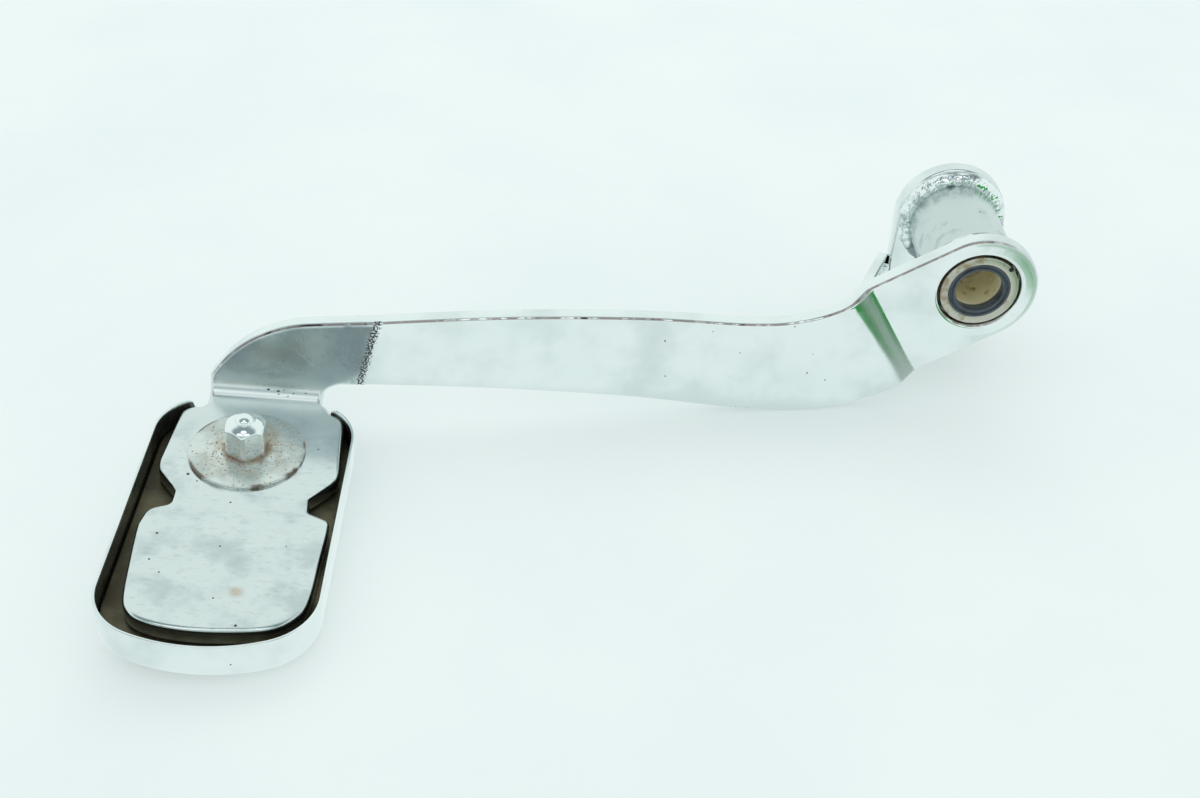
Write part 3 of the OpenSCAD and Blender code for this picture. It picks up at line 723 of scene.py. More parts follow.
def plated(name, colours, rough=0.09):
    """Decorative chrome on bright nickel over polished steel. The eye sees a cool pale mirror, a
    little uneven from the buffing wheel, dulled in patches by wiping, with pin holes in the plate."""
    chrome = Finish(name, colours.chrome, rough)
    chrome.lay(chrome.cloud(16, 0.42, 0.68), colours.satin, rough * 1.9)
    chrome.lay(chrome.cloud(2.2, 0.5, 0.75, 6), None, rough * 2.4)
    chrome.lay(chrome.specks(7, 0.34, 0.3), "#2B2623", 0.7, 0.2)
    chrome.lift(chrome.cloud(9, 0.2, 0.8, 2), 0.03)
    return chrome


def arm_finish(plate, colours):
    """The arm's plate: bright chrome on the strip, satin where shoes and hands have worn the pad
    plate, rust along the plate's upper edge and in the bend over the pad."""
    chrome = plated("worn_chrome_plate", colours)
    flat, edge = (add(chrome.tree, "ShaderNodeAttribute", attribute_name=name).outputs["Vector"]
                  for name in ("flat", "edge"))
    flat_x, _, depth = add(chrome.tree, "ShaderNodeSeparateXYZ", {0: flat}).outputs
    front_rim, _, edge_up = add(chrome.tree, "ShaderNodeSeparateXYZ", {0: edge}).outputs
    across = add(chrome.tree, "ShaderNodeMapping", {
        "Vector": flat, "Location": (plate.pad_x, plate.pad_bend_z, 0),
        "Rotation": (0, 0, -math.radians(plate.pad_tilt))}, vector_type="TEXTURE").outputs[0]
    beside, up, _ = add(chrome.tree, "ShaderNodeSeparateXYZ", {0: across}).outputs
    front = chrome.where(depth, (1.5, 1.0))
    chrome.lay(chrome.where(up, (7, -1)), colours.satin, 0.27)
    on_plate = chrome.where(up, (-16, -40))
    chrome.lay(on_plate, None, 0.16)
    chrome.lay(chrome.both(on_plate, chrome.cloud(6, 0.45, 0.7, 6)), "#C6D0CF", 0.24)
    rubbed = add(chrome.tree, "ShaderNodeMapping", {"Vector": across, "Scale": (0.45, 1, 1)}).outputs[0]
    fine = chrome.both(on_plate, chrome.cloud(0.9, 0.52, 0.7, 5, rubbed))
    chrome.lay(fine, "#A2ADAD", 0.26, None, 0.25)

    # The joggle is left with the grain of the belt between its two bends
    far = add(chrome.tree, "ShaderNodeVectorMath", {0: flat, 1: (*plate.tail, 0)},
              operation="DOT_PRODUCT").outputs["Value"]
    start, end = plate.s.joggle_start + 2.6, plate.joggle_end - 2.6
    slope = chrome.where(far, (start - 0.8, start + 0.8), (end + 0.8, end - 0.8))
    chrome.lay(chrome.both(slope, front), "#A7B1AC", 0.32, None, 0.75)

    # The web beside the bend line is rougher, and is painted darker with darker patches as a painted
    # reflection of the dark surroundings; the line itself is a row of dark specks.
    lean = math.radians(90 - plate.s.web_bend_lean)
    by_line = add(chrome.tree, "ShaderNodeMapping", {
        "Vector": flat, "Location": (*plate.web_pivot, 0), "Rotation": (0, 0, lean)},
        vector_type="TEXTURE").outputs[0]
    left = add(chrome.tree, "ShaderNodeSeparateXYZ", {0: by_line}).outputs[1]
    web_painted_dark = chrome.both(chrome.where(left, (-0.5, 2.5)), chrome.where(up, (-1, 6)), front)
    # Painted reflection: the web's colour is painted darker, in patches too, for the dark surroundings it
    # mirrors.
    chrome.lay(web_painted_dark, "#CBD6D8", 0.23)
    chrome.lay(chrome.both(web_painted_dark, chrome.cloud(8, 0.42, 0.66, 5)), "#AEBCC1", 0.32)
    chrome.lay(chrome.both(web_painted_dark, chrome.cloud(3, 0.58, 0.7, 5)), "#7E8B88", 0.4, None, 0.5)
    beyond = add(chrome.tree, "ShaderNodeMath", {0: left, 1: 0.4}, operation="ADD")
    away = add(chrome.tree, "ShaderNodeMath", {0: beyond}, operation="ABSOLUTE")
    width = add(chrome.tree, "ShaderNodeMapRange", {
        "Value": away, "From Min": 3.6, "From Max": 0.2, "To Min": -0.25, "To Max": 0.24},
        interpolation_type="SMOOTHSTEP")
    grain = add(chrome.tree, "ShaderNodeTexNoise", {"Vector": flat, "Scale": 1.5, "Detail": 2.0})
    grains = add(chrome.tree, "ShaderNodeMath", {0: width, 1: grain}, operation="ADD").outputs[0]
    line = chrome.both(chrome.where(grains, (0.64, 0.74)), front, chrome.where(up, (-1, 1.5)))
    chrome.lay(line, "#27323B", 0.4, 0.7, 0.92)

    # Rust in the bend at the pad, mostly towards the pivot
    bend = chrome.both(chrome.where(up, (0.5, -2), (-9, -6)), chrome.where(beside, (-6, 8)), front)
    chrome.lay(chrome.both(bend, chrome.specks(1.9, 0.5, 0.8, flat)), colours.rust, 0.8, 0.1, 0.85)
    for u, w, r in ((0.9, -3.7, 0.65), (4.3, -4.3, 0.7), (6.2, -3.4, 0.4), (9.5, -5.2, 0.4),
                    (13.8, -4.4, 0.4)):
        chrome.lay(chrome.spot(across, (u, w, 0), r), "#1B1512", 0.8, 0.1)

    # Haze round the eye's rim, where the plate was handled most
    out = add(chrome.tree, "ShaderNodeVectorMath", {0: flat}, operation="LENGTH").outputs["Value"]
    rim_r = plate.eye_r - plate.s.edge_r
    rim = chrome.both(chrome.where(flat_x, (-6, 2)), chrome.where(out, (0.95 * rim_r, rim_r)))
    chrome.lay(rim, None, 0.5)

    # The upper edge's front corner, where the plating has gone
    rusty = chrome.both(
        front_rim, chrome.where(edge_up, (0.35, 0.75)), chrome.where(flat_x, (14, 2)),
        chrome.where(depth, (0.1, 0.3), (0.85, 0.55)), chrome.cloud(2.5, 0.34, 0.52, 6, flat))
    chrome.lay(rusty, "#7A5C54", 0.6, 0.5, 0.75)
    chrome.lay(chrome.both(rusty, chrome.cloud(6, 0.54, 0.62, 3, flat)), "#2A1F1C", 0.8, 0.1)

    # Marks on the pad plate, each where it lies
    for u, v, r in ((-20.9, -11.9, 0.55), (-20.6, -23.3, 0.45), (-16.5, -28.5, 0.4), (-0.9, -15.8, 0.4),
                    (1.4, -37.7, 0.4), (9.9, -48.0, 0.6), (-17.5, 16.3, 0.7), (-14, 13.2, 0.4),
                    (19, -14, 0.3), (-1.6, 4.2, 0.45), (22, 33, 0.4)):
        chrome.lay(chrome.spot(flat, (*plate.on_pad(u, v), 0), r), "#3A3F40", 0.6, 0.4)
    chrome.lay(chrome.spot(flat, (*plate.on_pad(7.5, -34.7), 0), 3.4, 0.9), "#B39A70", 0.5, 0.6, 0.5)
    halo = chrome.spot(flat, (*plate.on_pad(*STUD), 0), 21.5, 0.16)
    chrome.lay(chrome.both(halo, chrome.cloud(4, 0.5, 0.66, 4)), colours.rust, 0.6, 0.4, 0.45)
    for x, z, turn, size in ((-232.4, -17.2, -50, 9), (-236, -12.7, -35, 4), (-234, -15, -30, 5)):
        chrome.lay(chrome.streak(flat, (x, z, 0), turn, size, 0.5), "#DDE6E4", 0.3, None, 0.6)
    for x, z, r in ((-109, -13.8, 0.4), (-108.6, -28.7, 0.35), (-58, -29.7, 0.4), (-51.3, -33.1, 0.35),
                    (-82.5, -20, 0.3), (-239.4, -3.6, 0.9)):
        chrome.lay(chrome.spot(flat, (x, z, 0), r), "#2A2A2A", 0.7, 0.3)
    return chrome.done()


def cup_finish(colours):
    """Drawn sheet, chromed outside. Inside it is painted dark grey-green with darker patches and dark specks,
    painted shade of the deep narrow gap round the rubber.
    """
    chrome = plated("drawn_chromed_sheet", colours, 0.12)
    within = add(chrome.tree, "ShaderNodeAttribute", attribute_name="inner").outputs["Vector"]
    within = add(chrome.tree, "ShaderNodeSeparateXYZ", {0: within}).outputs[0]
    # Painted shade: the inside is painted dark grey-green, darker in patches, for the deep narrow gap round
    # the rubber.
    chrome.lay(within, "#697069", 0.22, 0.9)
    chrome.lay(chrome.both(within, chrome.cloud(6, 0.42, 0.62, 5)), "#33342D", 0.38, 0.8)
    chrome.lay(chrome.both(within, chrome.specks(5, 0.5, 0.3)), "#171410", 0.9, 0.0)
    return chrome.done()


def tube_finish(colours, tube_d):
    """Satin chrome between the plates. The turned ends inside the eye are bare steel, cream with
    dried grease and spotted with tan rust."""
    chrome = plated("satin_chromed_tube", colours, 0.2)
    chrome.lay(chrome.cloud(12, 0.0, 0.4, 3), "#D0DAD8", 0.28)
    chrome.lay(chrome.cloud(3, 0.52, 0.7, 5), "#A9B5B4", 0.34, None, 0.6)
    for x, y, z, r in ((4, 0.4, 15.2, 0.5), (5.4, 0.2, 15, 0.35), (12.6, -18.2, 9.6, 0.45)):
        chrome.lay(chrome.spot(chrome.mm, (x, y, z), r), "#2B2E30", 0.6, 0.4)
    flat = add(chrome.tree, "ShaderNodeVectorMath", {0: chrome.mm, 1: (1, 0, 1)}, operation="MULTIPLY")
    away = add(chrome.tree, "ShaderNodeVectorMath", {0: flat}, operation="LENGTH").outputs["Value"]
    end = chrome.where(away, (tube_d / 2 - 1.6, tube_d / 2 - 1.9))
    chrome.lay(end, colours.steel, 0.36)
    stains = chrome.both(end, chrome.cloud(3.2, 0.48, 0.64, 5))
    chrome.lay(stains, "#94805E", 0.5, 0.7, 0.8)
    chrome.lay(chrome.both(end, chrome.specks(2.4, 0.4, 0.22)), "#3A2C1E", 0.7, 0.2)
    chrome.lay(chrome.spot(chrome.mm, (9.6, -27.6, 8.8), 1.1, 0.3), "#141311", 0.7, 0.0)
    return chrome.done()


def washer_finish(pad, plate, colours):
    """Dull zinc on pressed steel, freckled with rust that is thickest round the nut."""
    zinc = Finish("dull_zinc_washer", colours.zinc, 0.24)
    zinc.lay(zinc.cloud(5, 0.4, 0.65, 5), "#C2C9C4", 0.34)
    centre = (Matrix.Translation((0, -MID_Y, 0)) @ plate.pad) @ Vector((*STUD, pad.washer_t))
    away = add(zinc.tree, "ShaderNodeVectorMath", {0: zinc.mm, 1: tuple(centre)}, operation="DISTANCE")
    away = away.outputs["Value"]
    close = zinc.where(away, (17.5, 8))
    zinc.lay(zinc.both(close, zinc.cloud(4, 0.42, 0.62, 5)), "#B09A70", 0.5, 0.6, 0.45)
    zinc.lay(zinc.specks(1.35, 0.42, 0.35), "#9B7443", 0.85, 0.1, 0.85)
    zinc.lay(zinc.both(close, zinc.specks(0.95, 0.4, 0.5)), "#54452F", 0.85, 0.1, 0.85)
    zinc.lay(zinc.where(away, (8.8, 7.2)), "#8A7048", 0.8, 0.2, 0.5)
    rim = zinc.both(zinc.where(away, (17.9, 18.8)), zinc.cloud(5, 0.5, 0.6, 3))
    zinc.lay(rim, "#5A4028", 0.7, 0.3, 0.8)
    zinc.lift(zinc.cloud(1.2, 0.3, 0.7, 4), 0.03)
    return zinc.done()


def nut_finish(plate, colours):
    """Bright chromed acorn nut, with brown dirt drawn up from the washer at its foot."""
    chrome = plated("chromed_acorn_nut", colours, 0.07)
    foot = (Matrix.Translation((0, -MID_Y, 0)) @ plate.pad) @ Vector((*STUD, 0))
    level = chrome.where(chrome.z, (foot.z + 4.0, foot.z + 1.6))
    chrome.lay(chrome.both(level, chrome.cloud(2, 0.4, 0.6, 4)), "#7A5C38", 0.6, 0.3, 0.8)
    return chrome.done()


def weld_finish(colours):
    """Chrome over an undressed bead, so that each ripple and spatter glitters."""
    chrome = Finish("chromed_weld_bead", colours.chrome, 0.06)
    # Darker patches painted into the chrome, a painted reflection of the dark surroundings.
    chrome.lay(chrome.cloud(5, 0.45, 0.6, 5), "#859095", 0.12)
    chrome.lift(chrome.cloud(1.7, 0.3, 0.7, 2), 0.3)
    return chrome.done()


def seal_finish(colours):
    """Moulded nitrile rubber, smooth and a little greasy."""
    rubber = Finish("nitrile_seal", colours.seal, 0.38, 0.0)
    rubber.lay(rubber.cloud(3, 0.4, 0.65), "#333C44", 0.5)
    rubber.lay(rubber.specks(3, 0.3, 0.3), "#8A8A7E", 0.6)
    return rubber.done()


def bronze_finish(colours):
    """Sintered bronze, yellow-olive under old grease."""
    bronze = Finish("greasy_sintered_bronze", colours.bronze, 0.3, 0.1)
    bronze.lay(bronze.cloud(6, 0.42, 0.6, 4), "#E2DBA8", 0.4)
    bronze.lay(bronze.cloud(3, 0.56, 0.7, 4), "#9A905C", 0.5, 0.2)
    return bronze.done()


def backing_finish(colours):
    """Plain rolled steel plate, dark olive-brown, with lighter patches and dark specks."""
    # The plate is coloured dark olive-brown, with lighter patches and dark specks.
    steel = Finish("stained_rolled_steel", colours.dark_olive, 0.42, 0.8)
    steel.lay(steel.cloud(7, 0.4, 0.65, 5), "#68624F", 0.38)
    steel.lay(steel.specks(2.5, 0.5, 0.4), "#241D15", 0.8, 0.1)
    return steel.done()


def rubber_finish(colours):
    """Moulded black rubber with a fine matt texture and pale scuffs on its ribs."""
    rubber = Finish("moulded_pad_rubber", colours.rubber, 0.62, 0.0)
    rubber.lay(rubber.cloud(9, 0.45, 0.7, 5), "#2C2C2B", 0.72)
    rubber.lay(rubber.cloud(1.5, 0.6, 0.72, 5), "#4A4845", 0.8, None, 0.5)
    rubber.lift(rubber.cloud(0.5, 0.3, 0.7, 3), 0.05)
    return rubber.done()


def stud_finish(colours):
    """Plain threaded steel, faintly oily."""
    steel = Finish("plain_steel_stud", colours.steel, 0.4)
    steel.lay(steel.cloud(3, 0.45, 0.65), "#7B6A4E", 0.55)
    return steel.done()


def floor_finish(colours):
    """Pale laminate, half of its light its own, so that shadows stay faint. Only mirrors see the green
    thing that lies off to the right of the arm's joggle."""
    board = Finish("pale_laminate", colours.floor, 0.5, 0.0)
    board.lay(board.cloud(60, 0.35, 0.7, 5), "#E3F0EF", 0.55)
    board.lay(board.specks(45, 0.5, 0.18), "#9FB3B1", 0.7, None, 0.6)
    seen = add(board.tree, "ShaderNodeLightPath").outputs
    right = add(board.tree, "ShaderNodeMath", {0: board.x, 1: 40.0}, operation="ADD")
    before = add(board.tree, "ShaderNodeMath", {0: -25.0, 1: board.y}, operation="SUBTRACT")
    before = add(board.tree, "ShaderNodeMath", {0: before, 1: 1.0}, operation="MAXIMUM")
    slope = add(board.tree, "ShaderNodeMath", {0: right, 1: before}, operation="DIVIDE").outputs[0]
    patch = board.both(board.where(slope, (0.3, 0.42), (2.3, 2.0)), board.where(board.x, (40, 50)))
    board.lay(board.both(patch, seen["Is Glossy Ray"]), "#14903A", 0.6)
    lit = add(board.tree, "ShaderNodeBsdfPrincipled", {"Base Color": board.colour, "Roughness": board.rough})
    glow = add(board.tree, "ShaderNodeEmission", {"Color": board.colour, "Strength": 1.06})
    mirrored = board.both(seen["Is Glossy Ray"], 0.9)
    direct = board.both(seen["Is Camera Ray"], 0.45)
    share = add(board.tree, "ShaderNodeMath", {0: mirrored, 1: direct}, operation="ADD")
    mixed = add(board.tree, "ShaderNodeMixShader", {0: share, 1: lit, 2: glow})
    add(board.tree, "ShaderNodeOutputMaterial", {"Surface": mixed})
    return board.mat


# Operators

def given(context, *names):
    """The scene's colours, and before them the sizes of the groups that are named."""
    groups = [sized(getattr(context.scene, "pedal_" + name)) for name in names]
    return (*groups, context.scene.pedal_colours)


def circle(r, n, centre=(0, 0), clockwise=False):
    way = -360 if clockwise else 360
    return [Vector(centre) + polar(r, way * k / n) for k in range(n)]


class PEDAL_OT_arm(bpy.types.Operator):
    """The arm, one plate folded at the joggle, at the web and at the pad"""
    bl_idname = "pedal.arm"
    bl_label = "Folded arm"

    def execute(self, context):
        arm, colours = given(context, "arm")
        plate = Plate(arm)
        eye = circle(arm.eye_hole_d / 2, 90, clockwise=True)
        stud = [plate.on_pad(*p) for p in circle(STUD_HOLE_R, 40, STUD, True)]
        verts, faces, flat, edge = rounded_plate(
            plate.outline(), [eye, stud], arm.plate_t, arm.edge_r, plate.place, 1.6, 2.0)
        piece("arm", verts, faces, arm_finish(plate, colours), "arm_chrome", ["pedal_arm"],
              flat=flat, edge=edge)
        return {"FINISHED"}


class PEDAL_OT_lever(bpy.types.Operator):
    """The inner lever behind the pivot tube, with the hole for the brake rod"""
    bl_idname = "pedal.lever"
    bl_label = "Inner lever"

    def execute(self, context):
        arm, colours = given(context, "arm")
        rod, eye_r = Vector(ROD), Plate(arm).eye_r
        aim = math.degrees(math.atan2(rod.y, rod.x))
        spread = math.degrees(math.acos((eye_r - ROD_END_R) / rod.length))
        loop = [polar(eye_r, aim + spread + (360 - 2 * spread) * k / 60) for k in range(61)]
        loop += [rod + polar(ROD_END_R, aim - spread + 2 * spread * k / 24) for k in range(25)]
        holes = [circle(arm.eye_hole_d / 2, 90, clockwise=True), circle(ROD_HOLE_R, 40, rod, True)]
        back = arm.plate_t + arm.plate_gap
        verts, faces = rounded_plate(
            loop, holes, arm.plate_t, arm.edge_r, lambda p, d: Vector((p[0], back + d, p[1])))[:2]
        piece("lever", verts, faces, plated("chromed_lever", colours).done(), "lever_chrome", ["inner_lever"])
        return {"FINISHED"}


class PEDAL_OT_brace(bpy.types.Operator):
    """The brace plate from the strip's back to the lever's edge"""
    bl_idname = "pedal.brace"
    bl_label = "Brace plate"

    def execute(self, context):
        arm, colours = given(context, "arm")
        thick = BRACE["thick"]
        at, run, top = brace_frame(arm, Plate(arm))
        loop = filleted([
            (1.6, top - BRACE["strip_w"] / 2, 0), (1.6, top - BRACE["strip_w"], 0.5),
            (run - 0.2, ROD[1], 1.5), (run - 0.2, ROD[1] + BRACE["lever_w"], 2.5), (1.6, top, 0.5),
            (1.6, top - BRACE["strip_w"] / 2, 0)])[:-1]
        verts, faces = rounded_plate(
            loop, [], thick, 0.9, lambda p, d: Vector((d - thick / 2, p[0], p[1])))[:2]
        chrome = plated("chromed_brace", colours).done()
        piece("brace", verts, faces, chrome, "brace_chrome", ["brace_plate"], at)
        return {"FINISHED"}


def brace_frame(arm, plate):
    """Where the brace starts and turns to, how long it is, and the height of its top."""
    total = 2 * arm.plate_t + arm.plate_gap
    way = Vector((-plate.eye_r - BRACE["thick"] * 0.3 + BRACE["out"], total))
    turn = -math.degrees(math.atan2(way.x, way.y))
    a = math.radians(arm.tail_angle)
    top = (plate.eye_r - BRACE["out"] * math.sin(a)) / math.cos(a) - BRACE["in"]
    return Matrix.Translation((-BRACE["out"], 0, 0)) @ turned("Z", turn), way.length, top


class PEDAL_OT_pivot(bpy.types.Operator):
    """The pivot tube, its lip seals, and the finish of its bushes"""
    bl_idname = "pedal.pivot"
    bl_label = "Pivot tube, bushes and seals"

    def execute(self, context):
        arm, pivot, colours = given(context, "arm", "pivot")
        total = 2 * arm.plate_t + arm.plate_gap
        seal_r, bush_r, spigot_r, tube_r = (
            d / 2 for d in (pivot.seal_d, pivot.bush_d, pivot.spigot_d, arm.tube_d))
        deep, back = pivot.seal_depth + pivot.bush_len, 0.3
        profile = softened([
            (seal_r, back, 0.5), (spigot_r, back, 0.5), (spigot_r, arm.plate_t), (tube_r, arm.plate_t),
            (tube_r, total - arm.plate_t), (spigot_r, total - arm.plate_t), (spigot_r, total - back, 0.5),
            (seal_r, total - back, 0.5), (seal_r, total - pivot.seal_depth),
            (bush_r, total - pivot.seal_depth), (bush_r, total - deep), (GREASE_R, total - deep),
            (GREASE_R, deep), (bush_r, deep), (bush_r, pivot.seal_depth), (seal_r, pivot.seal_depth)], 0.12)
        piece("tube", *lathe(profile), tube_finish(colours, arm.tube_d), "tube_steel", ["pivot_tube"])
        lip_r, face = pivot.bore_d / 2 + 0.1, 0.5
        seal = softened([
            (seal_r, face, 0.2), (seal_r, pivot.seal_depth, 0.2), (lip_r + 0.5, pivot.seal_depth, 0.2),
            (lip_r + 0.5, 3.2, 0.3), (lip_r, 2.2, 0.25), (lip_r + 0.25, face, 0.25),
            (lip_r + 0.95, face, 0.25), (lip_r + 1.15, 1.3, 0.2), (seal_r - 0.75, 1.3, 0.2),
            (seal_r - 0.6, face, 0.2)], 0.2)
        rubber = seal_finish(colours)
        piece("seal_front", *lathe(seal), rubber, "seal_rubber", ["front_seal"])
        piece("seal_rear", *lathe([(r, total - y) for r, y in seal]), rubber, "seal_rubber", ["rear_seal"])
        bronze = bronze_finish(colours)
        for node in ("front_bush", "rear_bush"):
            set_finish(node, bronze)
        return {"FINISHED"}


def set_finish(node, material):
    """Gives a carried-over CAD node its material."""
    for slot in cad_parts[node].material_slots:
        slot.material = material


class PEDAL_OT_welds(bpy.types.Operator):
    """The four welds as rippled beads along their joints"""
    bl_idname = "pedal.welds"
    bl_label = "Weld beads"

    def execute(self, context):
        arm, pivot, colours = given(context, "arm", "pivot")
        tree, chrome, plate = bead_tree(), weld_finish(colours), Plate(arm)
        leg, r = pivot.weld_leg, arm.tube_d / 2
        total = 2 * arm.plate_t + arm.plate_gap
        at, run, top = brace_frame(arm, plate)
        half, low = BRACE["thick"] / 2, top - BRACE["strip_w"]
        for name, y, radius, rough in (
                ("weld_front", arm.plate_t + 0.3 * leg, 0.42 * leg, 0.12),
                ("weld_rear", total - arm.plate_t - 0.3 * leg, 0.6 * leg, 0.4)):
            path = [Vector((q.x, y, q.y)) for q in circle(r + 0.27 * leg, 160)]
            self.bead(name, tree, chrome, [path], True, radius, pivot, rough)
        back = arm.plate_t - arm.joggle_offset + 1.1
        sides = [[at @ Vector((side * (half + 0.7), back, low + 1.5 + (BRACE["strip_w"] - 3.5) * k / 20))
                  for k in range(21)] for side in (-1, 1)]
        self.bead("weld_brace_strip", tree, chrome, sides, False, 1.5, pivot, 0.3)
        edge_y = run - arm.plate_t - 0.9
        line = [at @ Vector((half + 0.4, edge_y, ROD[1] + 2.5 + 12 * k / 20)) for k in range(21)]
        self.bead("weld_brace_lever", tree, chrome, [line], False, 1.3, pivot, 0.3)
        return {"FINISHED"}

    def bead(self, name, tree, chrome, paths, closed, radius, pivot, rough):
        """One weld of beads along its paths, rough for how uneven its face is."""
        mesh = bpy.data.meshes.new(name)
        verts, edges = [], []
        for path in paths:
            first = len(verts)
            verts += [(p - Vector((0, MID_Y, 0))) / 1000 for p in path]
            edges += [(first + k, first + k + 1) for k in range(len(path) - 1)]
            if closed:
                edges.append((len(verts) - 1, first))
        mesh.from_pydata(verts, edges, [])
        length_mm = 2 * math.pi * RING_BEAD_R / pivot.bead_ripples
        values = {"Bead Radius": radius / 1000, "Ripple Length": length_mm / 1000,
                  "Ripple Height": radius * rough * 0.18 / 1000, "Unevenness": radius * rough * 1.3 / 1000,
                  "Seed": float(len(name)), "Material": chrome}
        finished(name, from_nodes(name, tree, mesh, values), chrome, "weld_chrome", [name])


class PEDAL_OT_cup(bpy.types.Operator):
    """The drawn metal cup, cut out at its far end for the neck"""
    bl_idname = "pedal.cup"
    bl_label = "Pad cup"

    def execute(self, context):
        arm, pad, colours = given(context, "arm", "pad")
        ring = pad_ring(pad, 12, 18, 44)
        floor, wall, edge = pad.cup_rim - pad.cup_h, pad.cup_wall, pad.cup_edge_r
        half = wall / 2
        section = [(half - half * math.cos(t), pad.cup_rim - half + half * math.sin(t), 0)
                   for t in (math.pi * k / 8 for k in range(9))]
        section += [(wall, z, 0) for z in (0.6, -1.5, -4.5)]
        section += [(*(Vector((wall - edge, floor + edge)) + polar(edge, -90 * k / 10)), 0) for k in range(11)]
        border = -pad.cup_border
        section += [(border + 0.3, floor, 0), (border, floor + half, 0), (border + 0.3, floor + wall, 1)]
        section += [(*(Vector((wall - edge, floor + edge)) + polar(edge - wall, -90 + 90 * k / 10)), 1)
                    for k in range(11)]
        section += [(0, z, 1) for z in (-4.5, -1.5, 0.6)]
        verts, inner = [], []
        for p, out in ring:
            top = gap_top(p, pad)
            for x, z, within in section:
                q = p + x * out
                if z > top - half:
                    over = (z - top + half) / max(half, pad.cup_rim - top + half)
                    z = top - half + half * math.sin(math.pi / 2 * min(1, max(0, over)))
                verts.append(Vector((q.x, q.y, z)))
                inner.append((within, 0, 0))
        piece("cup", verts, skin(len(ring), len(section)), cup_finish(colours), "cup_chrome", ["pad_cup"],
              Plate(arm).pad, inner=inner)
        return {"FINISHED"}


def pad_ring(pad, corner_n, end_n, side_n, grow=0.0):
    """Points of the pad's rounded oblong, anticlockwise, each with its outward direction."""
    a, b = pad.cup_in_w / 2, pad.cup_in_l / 2
    r, c = pad.cup_end_r, pad.cup_corner_r
    v = (b - r) + math.sqrt((r - c) ** 2 - (a - c) ** 2)
    swing = math.degrees(math.atan2(a - c, v - (b - r)))
    ring = []

    def sweep(centre, radius, start, end, n):
        for k in range(n):
            out = polar(1, start + (end - start) * k / n)
            ring.append((Vector(centre) + (radius + grow) * out, out))

    for sign, base in ((1, 0), (-1, 180)):
        sweep((sign * (a - c), sign * v), c, base, base + 90 - swing, corner_n)
        sweep((0, sign * (b - r)), r, base + 90 - swing, base + 90 + swing, end_n * 4)
        sweep((-sign * (a - c), sign * v), c, base + 90 + swing, base + 180, corner_n)
        for k in range(side_n):
            at = Vector((-sign * (a + grow), sign * v * (1 - 2 * k / side_n)))
            ring.append((at, Vector((-sign, 0))))
    return ring


def gap_top(p, pad):
    """Height that the wall has at a point of the outline, low in the cut-out for the neck."""
    if p.y < 20:
        return pad.cup_rim
    low, over, r = -6.35, abs(p.x) - pad.cup_gap_w / 2, 2.5
    if over < 0:
        return low + (pad.cup_rim - low) * smooth(1 + over / 0.8) * 0.8
    return pad.cup_rim - 1.67 * (1 - smooth(over / r))


class PEDAL_OT_pad(bpy.types.Operator):
    """The backing plate, the ribbed rubber and the stud in the cup"""
    bl_idname = "pedal.pad"
    bl_label = "Rubber pad and backing plate"

    def execute(self, context):
        arm, pad, colours = given(context, "arm", "pad")
        plate = Plate(arm)
        back = -arm.plate_t - pad.backing_t
        floor = pad.cup_rim - pad.cup_h
        outline = [p for p, _ in pad_ring(pad, 10, 12, 20, -0.4)]
        verts, faces = rounded_plate(
            outline, [circle(pad.stud_d / 2, 40, STUD, True)], pad.backing_t, 0.3,
            lambda p, d: Vector((p[0], p[1], -arm.plate_t - d)), 3, 6, 2)[:2]
        piece("backing", verts, faces, backing_finish(colours), "backing_steel", ["backing_plate"], plate.pad)

        rubber = rubber_finish(colours)
        shoulder, base, low = -pad.cup_edge_r, floor + pad.cup_wall, floor + 0.6
        outline = [p for p, _ in pad_ring(pad, 10, 12, 20, shoulder)]
        head = circle(STUD_HEAD_R, 48, STUD, True)
        verts, faces = rounded_plate(
            outline, [head], back - base, 0.4, lambda p, d: Vector((p[0], p[1], back - d)), 3, 6, 2)[:2]
        piece("rubber_bed", verts, faces, rubber, "pad_rubber", ["rubber_pad"], plate.pad)
        outline = [p for p, _ in pad_ring(pad, 10, 12, 20, -pad.cup_border - 0.3)]
        verts, faces = rounded_plate(
            outline, [], base + 0.2 - low, 0.3, lambda p, d: Vector((p[0], p[1], base + 0.2 - d)), 3, 6, 2)[:2]
        piece("rubber_face", verts, faces, rubber, "pad_rubber", ["rubber_pad"], plate.pad)

        pitch = (pad.cup_in_l - 2 * pad.cup_border - 10) / pad.rib_count
        points, reach = [], []
        placed = Matrix.Translation((0, -MID_Y, 0)) @ plate.pad
        half_w = pad.cup_in_w / 2 - pad.cup_border - 0.3
        for k in range(pad.rib_count):
            v = (k + 0.5 - pad.rib_count / 2) * pitch
            wide = min([half_w] + [abs(p.x) for p in outline if abs(abs(p.y) - abs(v)) < 2.2 and abs(v) > 30])
            points.append(Vector((0, v, low - 0.1)))
            reach.append((2 * wide / 1000, 1, 1))
        mesh = bpy.data.meshes.new("rib_points")
        mesh.from_pydata([p / 1000 for p in points], [], [])
        keep(mesh, "reach", reach)
        ribs = from_nodes("rubber_ribs", rib_tree(), mesh, {
            "Rib Width": (pitch - 2.4) / 1000, "Rib Height": 0.0014, "Material": rubber})
        ribs.transform(Matrix.Translation(placed.translation / 1000) @ placed.to_3x3().to_4x4())
        finished("rubber_ribs", ribs, rubber, "pad_rubber", ["rubber_pad"])
        set_finish("mounting_stud", stud_finish(colours))
        return {"FINISHED"}


